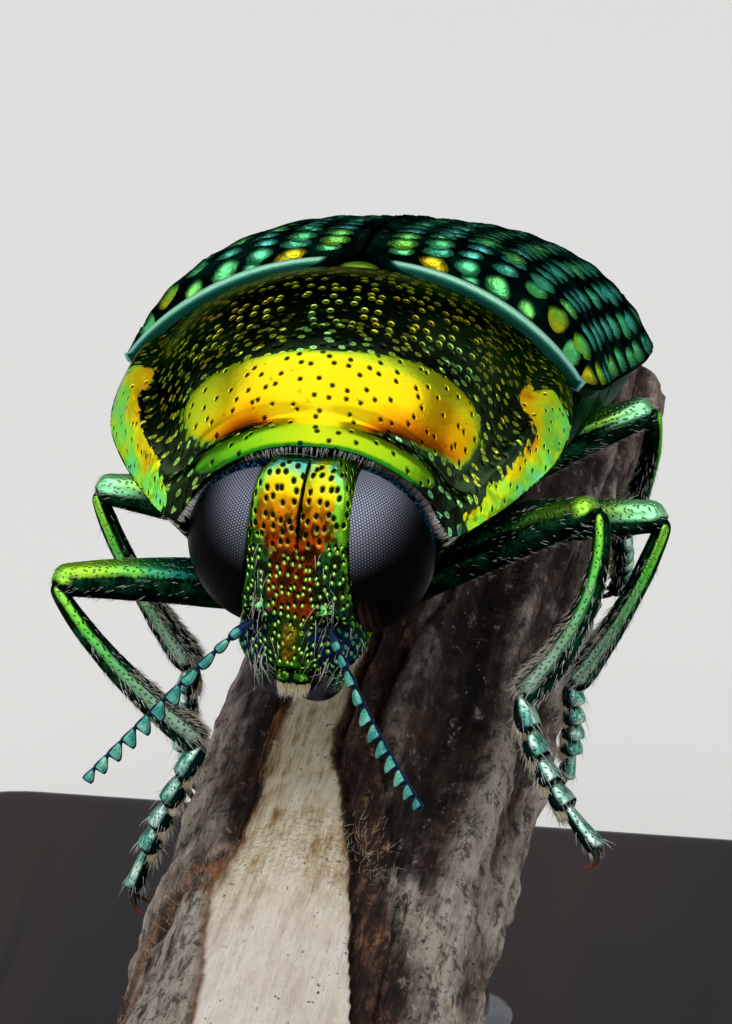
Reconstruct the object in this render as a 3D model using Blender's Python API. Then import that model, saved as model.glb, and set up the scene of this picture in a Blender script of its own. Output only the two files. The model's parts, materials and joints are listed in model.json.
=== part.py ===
"""A life-size jewel beetle (a Stigmodera of 25 mm) on a short length of dead branch, on a plain stand.

The beetle is modelled in its own body frame: the head looks along -Y, +Z is up its back and x is 0 on its
middle plane. The frame's origin lies between the shoulders, level with the side margins. An empty carries
that frame, tilted head up, over the perch. Two more empties tilt the hind body down and turn the head.
The row frame has its origin at the centre of the stand's underside, with the perch along Y.
"""

import math

import bmesh
import bpy
from mathutils import Matrix, Vector

MM = 0.001
GAP = 0.06 * MM  # between pieces that touch

# The driving sizes of the body.
ELYTRA_LENGTH = 17.6 * MM
PRONOTUM_LENGTH = 5.4 * MM
HALF_WIDTH = 5.05 * MM  # of the wing cases at their widest
SHELL = 0.5 * MM  # thickness of a wing case
WAIST = 6.6 * MM  # where the abdomen starts, behind the shoulders
HIND_PITCH = math.radians(9.5)  # how far the hind body hangs down from the line of the prothorax
FRONS = 0.97 * MM  # half the width of the face between the eyes, at the level of their centres
FRONS_TAPER = 0.07  # how fast the face narrows upwards
EYE_CENTRE = Vector((0.72, -5.5, -2.02)) * MM
EYE_RADII = Vector((1.76, 1.22, 1.68)) * MM
HEAD_PIVOT = Vector((0, -5.0, -2.0)) * MM
HEAD_TURN = math.radians(-8)
HEAD_LEAN = math.radians(1.5)

# The driving sizes of the stand and the perch, and how the body is set over them.
BASE_SIZE = Vector((32, 46, 4)) * MM
BASE_CORNER = 4 * MM
BASE_BEVEL = 0.6 * MM
ROD_RADIUS = 0.75 * MM
ROD_PLACES = (-10 * MM, 12 * MM)
ROD_RUN = 10 * MM  # bare rod between the base and the perch
ROD_SOCKET = 1.6 * MM  # how deep a rod sits in the base and in the perch
PERCH_RADIUS = 3.15 * MM
PERCH_LENGTH = 39.5 * MM
PERCH_AXIS = BASE_SIZE.z + ROD_RUN + PERCH_RADIUS
BODY_PLACE = Vector((-0.45 * MM, -1.2 * MM, PERCH_AXIS + 9.5 * MM))
BODY_PITCH = math.radians(8)

HIND_TOP = 0.426 * HALF_WIDTH  # the level of the hinge between the prothorax and the hind body

# Each profile is (share of the length, share of the size) from the front edge to the rear edge.
ELYTRA_WIDTH = ((0, 0.891), (0.04, 0.935), (0.12, 0.96), (0.3, 0.95), (0.55, 1), (0.7, 0.94), (0.82, 0.775),
                (0.92, 0.535), (0.97, 0.385), (1, 0.27))
ELYTRA_RISE = ((0, 0.426), (0.05, 0.5), (0.12, 0.57), (0.22, 0.605), (0.35, 0.6), (0.5, 0.56),
               (0.65, 0.485), (0.8, 0.37), (0.92, 0.23), (1, 0.11))
MARGIN_LEVEL = ((0, 0), (0.1, -0.05), (0.3, -0.09), (0.6, -0.08), (0.85, -0.04), (1, -0.02))
VENTER_DEPTH = ((0, 0.67), (0.15, 0.68), (0.35, 0.61), (0.55, 0.48), (0.8, 0.28), (0.95, 0.14), (1, 0.08))

# The prothorax, from its rear edge to the collar.
PRONOTUM_WIDTH = ((0, 0.875), (0.15, 0.9), (0.35, 0.908), (0.55, 0.865), (0.75, 0.765), (0.9, 0.655), (1, 0.57))
PRONOTUM_TOP = ((0, 0.426), (0.25, 0.455), (0.45, 0.42), (0.65, 0.32), (0.8, 0.2), (0.9, 0.085), (1, 0.024))
PRONOTUM_MARGIN = ((0, 0), (0.2, -0.06), (0.35, -0.115), (0.5, -0.165), (0.7, -0.23), (0.85, -0.285), (1, -0.335))
PRONOTUM_BOTTOM = ((0, -0.67), (0.5, -0.71), (1, -0.79))

# The head capsule, from the crown down to the mouth: level, half-width, front and back.
HEAD_RINGS = ((-0.12, 0.66, -5.95, -5.05), (-0.35, 0.85, -6.22, -4.75), (-0.9, 0.92, -6.5, -4.45),
              (-1.9, 1.01, -6.7, -4.35), (-2.8, 1.06, -6.78, -4.45), (-3.3, 1.18, -6.8, -4.6),
              (-3.7, 1.26, -6.82, -4.9), (-4.1, 1.1, -6.78, -5.2), (-4.4, 0.8, -6.66, -5.5))

# Each leg: side, place, then hip, knee, heel and toe in the body frame, in millimetres. The side is where the
# leg shows in a front view. The two front legs differ, as the beetle has set them down unevenly.
LEGS = {
    "left_front": ((1.0, -3.2, -3.75), (5.5, -4.4, -1.25), (4.25, -6.2, -4.65), (5.9, -7.4, -7.1)),
    "left_middle": ((1.3, 1.4, -3.95), (6.3, 1.1, -3.05), (4.5, 0.4, -6.55), (4.5, 0.2, -8.4)),
    "left_hind": ((1.5, 5.4, -4.2), (5.45, 6.7, -2.4), (4.5, 9.6, -6.1), (4.3, 11.7, -8.0)),
    "right_front": ((-1.0, -3.2, -3.75), (-5.4, -4.0, -3.6), (-2.1, -5.2, -6.4), (-3.35, -5.8, -9.2)),
    "right_middle": ((-1.3, 1.4, -3.95), (-5.6, 1.7, -3.4), (-3.35, 1.0, -6.9), (-3.45, 0.7, -9.2)),
    "right_hind": ((-1.5, 5.4, -4.2), (-4.9, 6.9, -3.0), (-3.75, 9.8, -6.2), (-3.5, 11.9, -7.9)),
}
SHIN_BOW = {"left_front": 0.5, "right_front": 0.32}  # outward, in millimetres
FOOT_BOW = {"left_front": -0.5}
FEMUR_RADII = ((0, 0.42), (0.12, 0.5), (0.35, 0.52), (0.7, 0.44), (0.92, 0.37), (1, 0.27))
TIBIA_RADII = ((0, 0.25), (0.15, 0.27), (0.5, 0.27), (0.8, 0.33), (0.95, 0.4), (1, 0.33))
TARSUS_RADII = ((0, 0.22), (0.3, 0.27), (0.8, 0.32), (1, 0.24))
CLAW_RADII = ((0, 0.2), (0.5, 0.18), (1, 0.11))
ANKLE_GAP = 0.26 * MM
TARSOMERES = 5

# The feelers: socket, bend and tip in the body frame, in millimetres.
ANTENNAE = {
    "left": ((0.92, -6.97, -3.35), (1.7, -8.0, -4.3), (3.6, -9.1, -5.9)),
    "right": ((-0.85, -6.97, -3.35), (-2.0, -7.9, -3.55), (-3.4, -8.9, -6.0)),
}
ANTENNA_JOINTS = 11
FIRST_TOOTHED = 3  # the joints before it have no tooth


def clear_scene():
    for existing in list(bpy.data.objects):
        bpy.data.objects.remove(existing)


def smooth_through(stations, place):
    """The value at place of a smooth curve through (place, value) stations."""
    places = [s[0] for s in stations]
    values = [s[1] for s in stations]
    place = min(max(place, places[0]), places[-1])
    i = max(k for k in range(len(places) - 1) if places[k] <= place)
    slopes = []
    for k in (i, i + 1):
        before, after = max(k - 1, 0), min(k + 1, len(places) - 1)
        slopes.append((values[after] - values[before]) / (places[after] - places[before]))
    run = places[i + 1] - places[i]
    t = (place - places[i]) / run
    return ((2 * t**3 - 3 * t**2 + 1) * values[i] + (t**3 - 2 * t**2 + t) * run * slopes[0]
            + (3 * t**2 - 2 * t**3) * values[i + 1] + (t**3 - t**2) * run * slopes[1])


def material(name, colour, roughness=0.3, metallic=0.0):
    made = bpy.data.materials.get(name) or bpy.data.materials.new(name)
    made.use_nodes = True
    shader = made.node_tree.nodes["Principled BSDF"]
    shader.inputs["Base Color"].default_value = (*colour, 1)
    shader.inputs["Roughness"].default_value = roughness
    shader.inputs["Metallic"].default_value = metallic
    return made


def finishes():
    return {
        "elytra": material("elytra", (0.01, 0.12, 0.09), 0.25, 0.9),
        "pronotum": material("pronotum", (0.35, 0.4, 0.02), 0.25, 0.9),
        "head": material("head", (0.5, 0.3, 0.02), 0.3, 0.9),
        "venter": material("venter", (0.02, 0.12, 0.05), 0.35, 0.8),
        "leg": material("leg", (0.08, 0.3, 0.05), 0.35, 0.8),
        "antenna": material("antenna", (0.05, 0.3, 0.28), 0.4, 0.6),
        "eye": material("eye", (0.01, 0.01, 0.012), 0.2),
        "mouth": material("mouth", (0.01, 0.008, 0.008), 0.25),
        "bark": material("bark", (0.2, 0.14, 0.1), 0.9),
        "stand": material("stand", (0.03, 0.018, 0.012), 0.35),
        "rod": material("rod", (0.4, 0.4, 0.42), 0.3, 1.0),
    }


def add_object(name, mesh, finish, parent=None):
    made = bpy.data.objects.new(name, mesh)
    mesh.materials.append(finish)
    made.parent = parent
    bpy.context.scene.collection.objects.link(made)
    return made


def shaded(build, name):
    """A smooth-shaded mesh from a bmesh, with its faces pointing out."""
    bmesh.ops.recalc_face_normals(build, faces=build.faces)
    mesh = bpy.data.meshes.new(name)
    build.to_mesh(mesh)
    build.free()
    mesh.shade_smooth()
    mesh.set_sharp_from_angle(angle=math.radians(40))
    return mesh


def loft(name, rings):
    """A closed skin over rings of points, each with the same number of points."""
    build = bmesh.new()
    loops = [[build.verts.new(point) for point in ring] for ring in rings]
    count = len(loops[0])
    for first, second in zip(loops, loops[1:]):
        for k in range(count):
            n = (k + 1) % count
            build.faces.new((first[k], first[n], second[n], second[k]))
    build.faces.new(loops[0])
    build.faces.new(loops[-1])
    return shaded(build, name)


def frames_along(path, side):
    """(point, across, up) at each point of a path. Across stays as near to side as the path allows."""
    made = []
    for k, point in enumerate(path):
        ahead = (path[min(k + 1, len(path) - 1)] - path[max(k - 1, 0)]).normalized()
        up = ahead.cross(side).normalized()
        made.append((point, up.cross(ahead).normalized(), up))
    return made


def oval(centre, across, up, wide, tall, sides, shift=0.0):
    """A ring of points round centre, moved along across by shift."""
    return [centre + across * (shift + wide * math.cos(2 * math.pi * k / sides))
            + up * (tall * math.sin(2 * math.pi * k / sides)) for k in range(sides)]


def bent(start, bend, end, share):
    """A point of the quadratic curve from start to end that leans towards bend."""
    return start.lerp(bend, share).lerp(bend.lerp(end, share), share)


def tube(name, path, radii, side, sides=8, inflate=0.0):
    """A lofted limb. radii is a profile in millimetres over the path's length."""
    rings = []
    for k, (point, across, up) in enumerate(frames_along(path, side)):
        radius = smooth_through(radii, k / (len(path) - 1)) * MM + inflate
        rings.append(oval(point, across, up, radius, radius, sides))
    return loft(name, rings)


def add_empty(name, place, turn, parent=None):
    made = bpy.data.objects.new(name, None)
    made.location = place
    made.rotation_euler = turn
    made.parent = parent
    bpy.context.scene.collection.objects.link(made)
    return made


def cut(target, cutter_mesh, how="DIFFERENCE", frame=None):
    """Takes a hidden helper solid, in target's frame or another one, out of target, or joins the two."""
    cutter = bpy.data.objects.new(target.name + "_" + how.lower(), cutter_mesh)
    cutter.parent = frame or target.parent
    cutter.hide_render = True
    cutter.display_type = "WIRE"
    bpy.context.scene.collection.objects.link(cutter)
    step = target.modifiers.new(how.title(), "BOOLEAN")
    step.operation = how
    step.solver = "MANIFOLD" if how == "UNION" else "EXACT"
    step.object = cutter


def ellipsoid(name, centre, radii, segments=20, rings=12):
    build = bmesh.new()
    shape = Matrix.Translation(centre) @ Matrix.Diagonal((*radii, 1))
    bmesh.ops.create_uvsphere(build, u_segments=segments, v_segments=rings, radius=1, matrix=shape)
    return shaded(build, name)


# ---------------------------------------------------------------- wing cases, scutellum and underside


def elytra_size(profile, place):
    return smooth_through(profile, place) * HALF_WIDTH


def arch(across, full=0.0):
    """Height of a cross-section's arch, 1 on the middle plane and 0 at the margin. full squares its shoulders."""
    return max(0.0, 1 - abs(across) ** (2.1 + 0.9 * full)) ** (0.86 - 0.2 * full)


def fullness(place):
    """How square the hind body's arch is: it starts as the pronotum's arch and fills out behind the shoulders."""
    return min(1.0, place / 0.06) * (1 - 0.6 * max(0.0, place - 0.3))


SCUTELLUM_WIDTH = 0.62 * MM
SCUTELLUM_LENGTH = 0.75 * MM


def scutellum_edge(y):
    """Half the width of the notch that the wing cases leave for the scutellum, at y behind the shoulders."""
    return SCUTELLUM_WIDTH * max(0.0, 1 - y / SCUTELLUM_LENGTH)


def elytron_ring(place, columns):
    """A cross-section of the left wing case: its arched top from the suture to the side, then its underside."""
    width = elytra_size(ELYTRA_WIDTH, place)
    margin = elytra_size(MARGIN_LEVEL, place)
    rise = elytra_size(ELYTRA_RISE, place)
    y = GAP + place * (ELYTRA_LENGTH - GAP)
    inner = max(GAP / 2, scutellum_edge(y) + GAP)
    shares = [k / (columns - 1) for k in range(columns)]
    ring = []
    for depth, order in ((0, shares), (SHELL, shares[::-1])):
        for share in order:
            x = inner + (width - depth - inner) * (1 - (1 - share) ** 1.4)
            z = margin + (rise - depth) * arch(x / (width - depth), fullness(place))
            spine = 0.35 * MM * abs(2 * share - 1) ** 3 * max(0.0, (place - 0.93) / 0.07)
            ring.append(Vector((x, y + spine, z)))
    return ring


def elytron(name, mirror, finish, body):
    rows, columns = 17, 9
    rings = []
    for i in range(rows):
        place = (1 - math.cos(math.pi * (0.12 + 0.88 * i / (rows - 1)))) / 2
        first = (1 - math.cos(math.pi * 0.12)) / 2
        ring = elytron_ring((place - first) / (1 - first), columns)
        rings.append([Vector((point.x * mirror, point.y, point.z)) for point in ring])
    return add_object(name, loft(name, rings), finish, body)


def scutellum(finish, body):
    """The small three-cornered shield between the bases of the wing cases."""
    top = HALF_WIDTH * ELYTRA_RISE[0][1]
    corners = [Vector((-1, 0, 0)), Vector((1, 0, 0)), Vector((0.55, 0.45, 0)), Vector((0, 0.9, 0)),
               Vector((-0.55, 0.45, 0))]
    middle = Vector((0, 0.3, 0))
    rings = []
    for size, level in ((0.86, -0.5), (0.86, -0.08), (0.75, 0.02), (0.4, 0.08)):
        ring = []
        for corner in corners:
            place = middle.lerp(corner, size)
            ring.append(Vector((place.x * SCUTELLUM_WIDTH, place.y * SCUTELLUM_LENGTH, top + level * MM)))
        rings.append(ring)
    return add_object("scutellum", loft("scutellum", rings), finish, body)


def venter_ring(place, inflate=0.0, count=10, groove=0.0):
    """A cross-section of the body under the wing cases."""
    inset = SHELL + 3 * GAP
    width = elytra_size(ELYTRA_WIDTH, place)
    margin = elytra_size(MARGIN_LEVEL, place) - 2 * GAP
    rise = max(elytra_size(ELYTRA_RISE, place) - inset, 0.05 * MM)
    depth = elytra_size(VENTER_DEPTH, place) * (1 - groove)
    inner = max(width - inset, 0.4 * MM)
    outer = max(width - 0.3 * MM, 0.5 * MM)
    y = place * ELYTRA_LENGTH
    ring = []
    for k in range(count + 1):
        angle = math.pi * k / count
        across = math.cos(angle)
        ring.append(Vector((across * inner, y, margin + rise * arch(across, fullness(place)) + inflate)))
    for k in range(count + 1):
        angle = math.pi * k / count
        across = -math.cos(angle)
        fall = (1 - abs(across) ** 2.0) ** 0.7
        ring.append(Vector((across * (outer + inflate), y, margin - GAP - depth * fall - inflate)))
    return ring


def thorax_mesh(name, inflate=0.0):
    end = WAIST / ELYTRA_LENGTH
    places = [0.003 + (end - 0.006) * k / 5 for k in range(6)]
    return loft(name, [venter_ring(place, inflate) for place in places])


def abdomen_mesh(name, inflate=0.0):
    """The abdomen, drawn in a little at the joints between its five plates."""
    start = WAIST / ELYTRA_LENGTH + 0.006
    ends = [start + (0.985 - start) * share for share in (0, 0.27, 0.47, 0.65, 0.82, 1)]
    rings = []
    for first, last in zip(ends, ends[1:]):
        for share, groove in ((0.0, 0.03), (0.12, 0.0), (0.9, 0.0)):
            rings.append(venter_ring(first + (last - first) * share, inflate, groove=groove))
    rings.append(venter_ring(ends[-1], inflate, groove=0.2))
    return loft(name, rings)


# ---------------------------------------------------------------- prothorax and head


def pronotum_size(profile, place):
    return smooth_through(profile, place) * HALF_WIDTH


def rim(across):
    """The raised side border of the pronotum and the hollow inside it, as a share of its height."""
    edge = abs(across)
    return 0.1 * math.exp(-(((edge - 0.93) / 0.05) ** 2)) - 0.1 * math.exp(-(((edge - 0.8) / 0.07) ** 2))


def prothorax_ring(place, inflate=0.0, count=15):
    """A cross-section of the prothorax: the arched pronotum, its sharp side margins and the flat flanks below."""
    width = pronotum_size(PRONOTUM_WIDTH, place) + inflate
    margin = pronotum_size(PRONOTUM_MARGIN, place)
    top = pronotum_size(PRONOTUM_TOP, place) + inflate
    bottom = pronotum_size(PRONOTUM_BOTTOM, place) - inflate
    y = -GAP - place * (PRONOTUM_LENGTH - GAP)
    slant = math.tan(HIND_PITCH) * max(0.0, 1 - place / 0.6)
    fade = math.sin(math.pi * min(max(place, 0.0), 1.0)) ** 0.5
    ring = []
    for k in range(count):
        across = math.cos(math.pi * k / (count - 1))
        lift = rim(across) * fade
        ring.append(Vector((across * width, y, margin + (top - margin) * (arch(across) + lift))))
    for k in range(1, count - 1):
        across = -math.cos(math.pi * k / (count - 1))
        fall = 1 - abs(across) ** 1.25
        ring.append(Vector((across * width, y, margin + (bottom - margin) * fall)))
    for point in ring:
        point.y -= slant * (HIND_TOP - point.z)
    return ring


def prothorax_mesh(name, inflate=0.0):
    places = [0, 0.13, 0.28, 0.43, 0.57, 0.7, 0.81, 0.89, 0.95, 1.0]
    return loft(name, [prothorax_ring(place, inflate) for place in places])


def prothorax(finish, body, face):
    """The first section of the body, hollowed at the front where the head sits in its collar."""
    made = add_object("pronotum", prothorax_mesh("pronotum"), finish, body)
    socket = ellipsoid("socket", Vector((0, -5.5, -2.05)) * MM, Vector((2.6, 1.38, 1.9)) * MM, 16, 10)
    cut(made, socket)
    cut(made, head_mesh("head_bed", GAP), frame=face)
    for side in (1, -1):
        cut(made, eye_mesh("eye_bed", side, GAP), frame=face)
    return made


def head_mesh(name, inflate=0.0):
    """The head capsule, narrow between the eyes and widest at the cheeks."""
    sides = 20
    rings = []
    for level, half, front, back in HEAD_RINGS:
        half = half + inflate / MM
        middle, depth = (front + back) / 2, (back - front) / 2 + inflate / MM
        ring = []
        for k in range(sides):
            angle = 2 * math.pi * k / sides
            across, along = math.cos(angle), math.sin(angle)
            x = half * math.copysign(abs(across) ** 0.55, across)
            y = middle + depth * math.copysign(abs(along) ** 0.8, along)
            ring.append(Vector((x, y, level)) * MM - HEAD_PIVOT)
        rings.append(ring)
    return loft(name, rings)


def eye_mesh(name, side, inflate=0.0):
    """One compound eye: the outer part of an ellipsoid, flat where it meets the face."""
    centre = Vector((EYE_CENTRE.x * side, EYE_CENTRE.y, EYE_CENTRE.z)) - HEAD_PIVOT
    radii = EYE_RADII + Vector((inflate, inflate, inflate))
    build = bmesh.new()
    turned = Matrix.Rotation(math.radians(90), 4, "Y")
    shape = Matrix.Translation(centre) @ Matrix.Diagonal((*radii, 1)) @ turned
    bmesh.ops.create_uvsphere(build, u_segments=20, v_segments=14, radius=1, matrix=shape)
    inner = Vector((side * (FRONS + GAP - inflate), 0, EYE_CENTRE.z)) - HEAD_PIVOT
    towards_face = Vector((-side, 0, -FRONS_TAPER))
    everything = build.verts[:] + build.edges[:] + build.faces[:]
    bmesh.ops.bisect_plane(build, geom=everything, plane_co=inner, plane_no=towards_face, clear_outer=True)
    bmesh.ops.holes_fill(build, edges=[edge for edge in build.edges if edge.is_boundary])
    return shaded(build, name)


def head(finish, body):
    made = add_object("head", head_mesh("head"), finish, body)
    for side in (1, -1):
        cut(made, eye_mesh("eye_bed", side, GAP))
    return made


def labrum(finish, body):
    """The upper lip, a small notched plate over the jaws."""
    build = bmesh.new()
    shape = Matrix.Translation(Vector((0, -6.42, -4.6)) * MM - HEAD_PIVOT) @ Matrix.Diagonal((1.05 * MM, 0.34 * MM, 0.24 * MM, 1))
    bmesh.ops.create_cube(build, size=1, matrix=shape)
    bmesh.ops.bevel(build, geom=build.edges[:], offset=0.07 * MM, segments=2, affect="EDGES")
    return add_object("labrum", shaded(build, "labrum"), finish, body)


def mandible(name, side, finish, body):
    """A short curved jaw, wide at the cheek and pointed at the middle."""
    start, bend, end = (Vector((x * side, y, z)) * MM - HEAD_PIVOT for x, y, z in
                        ((0.78, -6.0, -4.62), (0.62, -6.05, -5.0), (0.1, -6.12, -4.98)))
    path = [bent(start, bend, end, k / 5) for k in range(6)]
    radii = ((0, 0.14), (0.2, 0.2), (0.6, 0.2), (1, 0.07))
    return add_object(name, tube(name, path, radii, Vector((0, 1, 0)), 8), finish, body)


def antenna(name, points, finish, body):
    """A feeler of eleven joints. From the fourth on, each has a tooth on its lower side, like a saw."""
    socket, bend, tip = (Vector(point) * MM - HEAD_PIVOT for point in points)
    lower = Vector((math.copysign(1.0, -socket.x), 0.0, -0.55)).normalized()
    stations = []
    for joint in range(ANTENNA_JOINTS):
        toothed = joint >= FIRST_TOOTHED
        small = 1 - 0.15 * max(0, joint - 7) / 3
        for share, wide, shift in ((0.04, 0.22, 0.0), (0.72, 0.31, 0.1), (0.97, 0.24, 0.04)):
            wide = wide if toothed else 0.24
            shift = shift if toothed else 0.0
            stations.append(((joint + share) / ANTENNA_JOINTS, wide * small * MM, shift * small * MM))
    path = [bent(socket, bend, tip, share) for share, _, _ in stations]
    rings = []
    for (point, across, up), (_, wide, shift) in zip(frames_along(path, lower), stations):
        rings.append(oval(point, across, up, wide, 0.23 * MM, 6, shift))
    return add_object(name, loft(name, rings), finish, body)


# ---------------------------------------------------------------- legs


def limb_path(start, end, bow, count):
    """count points from start to end, on a curve bowed by the vector bow at its middle."""
    middle = (start + end) / 2 + 2 * bow
    return [bent(start, middle, end, k / (count - 1)) for k in range(count)]


def leg(place, finish, body, hind):
    """Femur, tibia and tarsus of one leg, each in a node of its own."""
    hip, knee, heel, toe = (Vector(point) * MM for point in LEGS[place])
    outward = Vector((math.copysign(1.0, knee.x), 0, 0))
    thigh = (knee - hip).normalized()
    shin = (heel - knee).normalized()
    side = Vector((0, 1, 0))

    femur_path = limb_path(hip, knee, Vector((0, 0, 0.12 * MM)), 7)
    femur = add_object(place + "_femur", tube(place + "_femur", femur_path, FEMUR_RADII, side, 8), finish, body)
    if place.endswith("front"):
        cut(femur, prothorax_mesh("hip_bed", GAP))
    else:
        cut(femur, thorax_mesh("hip_bed", GAP), frame=hind)
        cut(femur, abdomen_mesh("belly_bed", GAP), frame=hind)

    start = knee + shin * FEMUR_RADII[-1][1] * MM
    tibia_path = limb_path(start, heel, outward * SHIN_BOW.get(place, 0.2) * MM, 7)
    tibia = add_object(place + "_tibia", tube(place + "_tibia", tibia_path, TIBIA_RADII, side, 8), finish, body)
    cut(tibia, tube("knee_bed", femur_path + [knee + thigh * GAP], FEMUR_RADII, side, 8, GAP))

    sole = (heel + toe) / 2 + outward * FOOT_BOW.get(place, 0.2) * MM
    add_tarsus(place + "_tarsus", heel + shin * ANKLE_GAP, sole, toe, -outward, finish, body)


def add_tarsus(name, heel, bend, toe, inward, finish, body):
    """Five foot joints like a string of beads, and two claws joined to the last."""
    ahead = (toe - bend).normalized()
    side = Vector((0, 1, 0))
    stations = [(joint + share) / TARSOMERES for joint in range(TARSOMERES) for share in (0.02, 0.7, 0.96)]
    path = [bent(heel, bend, toe, share) for share in stations]
    rings = []
    for k, (point, across, up) in enumerate(frames_along(path, side)):
        radius = (0.25, 0.32, 0.25)[k % 3] if k < 12 else 0.25
        rings.append(oval(point, across, up, radius * MM, radius * 0.95 * MM, 6))
    foot = add_object(name, loft(name, rings), finish, body)
    for turn in (1, -1):
        base = toe - ahead * 0.2 * MM + side * turn * 0.06 * MM
        knuckle = toe + ahead * 0.38 * MM + side * turn * 0.3 * MM
        point = toe + ahead * 0.5 * MM + inward * 0.42 * MM + side * turn * 0.4 * MM
        claw = [bent(base, knuckle, point, k / 3) for k in range(4)]
        cut(foot, tube(name + "_claw", claw, CLAW_RADII, side, 5), "UNION")


# ---------------------------------------------------------------- perch and stand


def perch_point(angle, y):
    """A point of a weathered branch: low ridges run along it, and it is wider than tall towards the rear."""
    ridges = 0.028 * math.sin(3 * angle + 0.4) + 0.02 * math.sin(5 * angle + 90 * y + 1.3)
    radius = PERCH_RADIUS * (1 + ridges)
    wide = 1.06 + 2.6 * y
    return Vector((wide * radius * math.cos(angle), y, PERCH_AXIS + radius * math.sin(angle)))


def perch(finish):
    sides, stations = 20, 14
    rings = []
    for i in range(stations):
        y = PERCH_LENGTH * (i / (stations - 1) - 0.5)
        rings.append([perch_point(2 * math.pi * k / sides, y) for k in range(sides)])
    made = add_object("perch_branch", loft("perch_branch", rings), finish)
    for y in ROD_PLACES:
        bore = rod_mesh("rod_bore", y, PERCH_AXIS - 2 * PERCH_RADIUS, rod_top() + GAP, ROD_RADIUS + GAP)
        cut(made, bore)
    return made


def rod_top():
    return PERCH_AXIS - PERCH_RADIUS + ROD_SOCKET


def rod_mesh(name, y, low, high, radius):
    rings = []
    for level in (low, high):
        ring = oval(Vector((0, y, level)), Vector((1, 0, 0)), Vector((0, 1, 0)), radius, radius, 16)
        rings.append(ring)
    return loft(name, rings)


def rounded_rectangle(inset, level):
    corner = BASE_CORNER - inset
    ring = []
    for quarter in range(4):
        for k in range(5):
            angle = math.radians(90 * quarter + 22.5 * k)
            x_side = 1 if quarter in (0, 3) else -1
            y_side = 1 if quarter in (0, 1) else -1
            x = x_side * (BASE_SIZE.x / 2 - BASE_CORNER) + corner * math.cos(angle)
            y = y_side * (BASE_SIZE.y / 2 - BASE_CORNER) + corner * math.sin(angle)
            ring.append(Vector((x, y, level)))
    return ring


def stand(finishes_by_name):
    """A flat base with rounded corners and two rods, each set in a socket at both ends."""
    steps = ((0.4 * BASE_BEVEL, 0), (0, 0.4 * BASE_BEVEL), (0, BASE_SIZE.z - BASE_BEVEL), (BASE_BEVEL, BASE_SIZE.z))
    mesh = loft("stand_base", [rounded_rectangle(inset, level) for inset, level in steps])
    base = add_object("stand_base", mesh, finishes_by_name["stand"])
    foot = BASE_SIZE.z - ROD_SOCKET
    for name, y in zip(("stand_rod_front", "stand_rod_rear"), ROD_PLACES):
        cut(base, rod_mesh("rod_bore", y, foot - GAP, 2 * BASE_SIZE.z, ROD_RADIUS + GAP))
        add_object(name, rod_mesh(name, y, foot, rod_top(), ROD_RADIUS), finishes_by_name["rod"])


def main():
    clear_scene()
    finish = finishes()
    body = add_empty("beetle", BODY_PLACE, (-BODY_PITCH, 0, 0))
    hind_offset = Vector((0, -HIND_TOP * math.sin(HIND_PITCH), HIND_TOP * (1 - math.cos(HIND_PITCH))))
    hind = add_empty("hind_body", hind_offset, (-HIND_PITCH, 0, 0), body)
    face = add_empty("face", HEAD_PIVOT, (0, HEAD_LEAN, HEAD_TURN), body)

    elytron("elytron_left", 1, finish["elytra"], hind)
    elytron("elytron_right", -1, finish["elytra"], hind)
    scutellum(finish["elytra"], hind)
    add_object("thorax", thorax_mesh("thorax"), finish["venter"], hind)
    add_object("abdomen", abdomen_mesh("abdomen"), finish["venter"], hind)
    prothorax(finish["pronotum"], body, face)
    head(finish["head"], face)
    for name, side in (("left", 1), ("right", -1)):
        add_object("eye_" + name, eye_mesh("eye_" + name, side), finish["eye"], face)
        mandible("mandible_" + name, side, finish["mouth"], face)
        antenna("antenna_" + name, ANTENNAE[name], finish["antenna"], face)
    labrum(finish["head"], face)
    for place in LEGS:
        leg(place, finish["leg"], body, hind)
    perch(finish["bark"])
    stand(finish)


main()
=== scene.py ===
"""Looks for the jewel beetle: shells, eyes, feelers, legs and hairs, the perch, the stand and the studio.

Shapes are computed in millimetres, in the same frames as the solids: the body frame (head along -Y, origin
between the shoulders), the hind body, tilted down behind it, and the face, turned a little.
"""

import json
import math

import bpy
import numpy as np
from mathutils import Euler, Matrix, Vector

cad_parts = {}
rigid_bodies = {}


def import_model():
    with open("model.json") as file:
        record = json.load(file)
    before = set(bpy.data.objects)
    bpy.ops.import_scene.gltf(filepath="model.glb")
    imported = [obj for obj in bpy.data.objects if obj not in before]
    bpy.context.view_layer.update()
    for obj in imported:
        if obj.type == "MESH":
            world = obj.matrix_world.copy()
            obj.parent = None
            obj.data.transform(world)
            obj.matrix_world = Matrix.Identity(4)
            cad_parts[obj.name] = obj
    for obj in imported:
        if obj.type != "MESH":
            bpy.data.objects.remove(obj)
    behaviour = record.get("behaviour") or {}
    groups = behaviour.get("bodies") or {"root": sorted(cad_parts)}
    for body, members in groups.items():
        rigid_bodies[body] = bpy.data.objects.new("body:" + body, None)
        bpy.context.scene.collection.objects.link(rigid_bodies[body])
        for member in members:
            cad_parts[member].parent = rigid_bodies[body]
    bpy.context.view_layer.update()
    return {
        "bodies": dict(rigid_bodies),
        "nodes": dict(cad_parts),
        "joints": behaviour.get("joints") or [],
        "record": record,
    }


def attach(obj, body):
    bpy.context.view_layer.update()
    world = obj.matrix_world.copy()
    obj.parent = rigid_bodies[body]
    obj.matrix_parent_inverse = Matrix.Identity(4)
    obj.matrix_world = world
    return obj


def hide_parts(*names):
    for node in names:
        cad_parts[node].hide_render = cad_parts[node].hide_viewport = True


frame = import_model()

MM = 0.001
RNG = np.random.default_rng(7)

# ---------------------------------------------------------------- sizes shared with the solids

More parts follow.
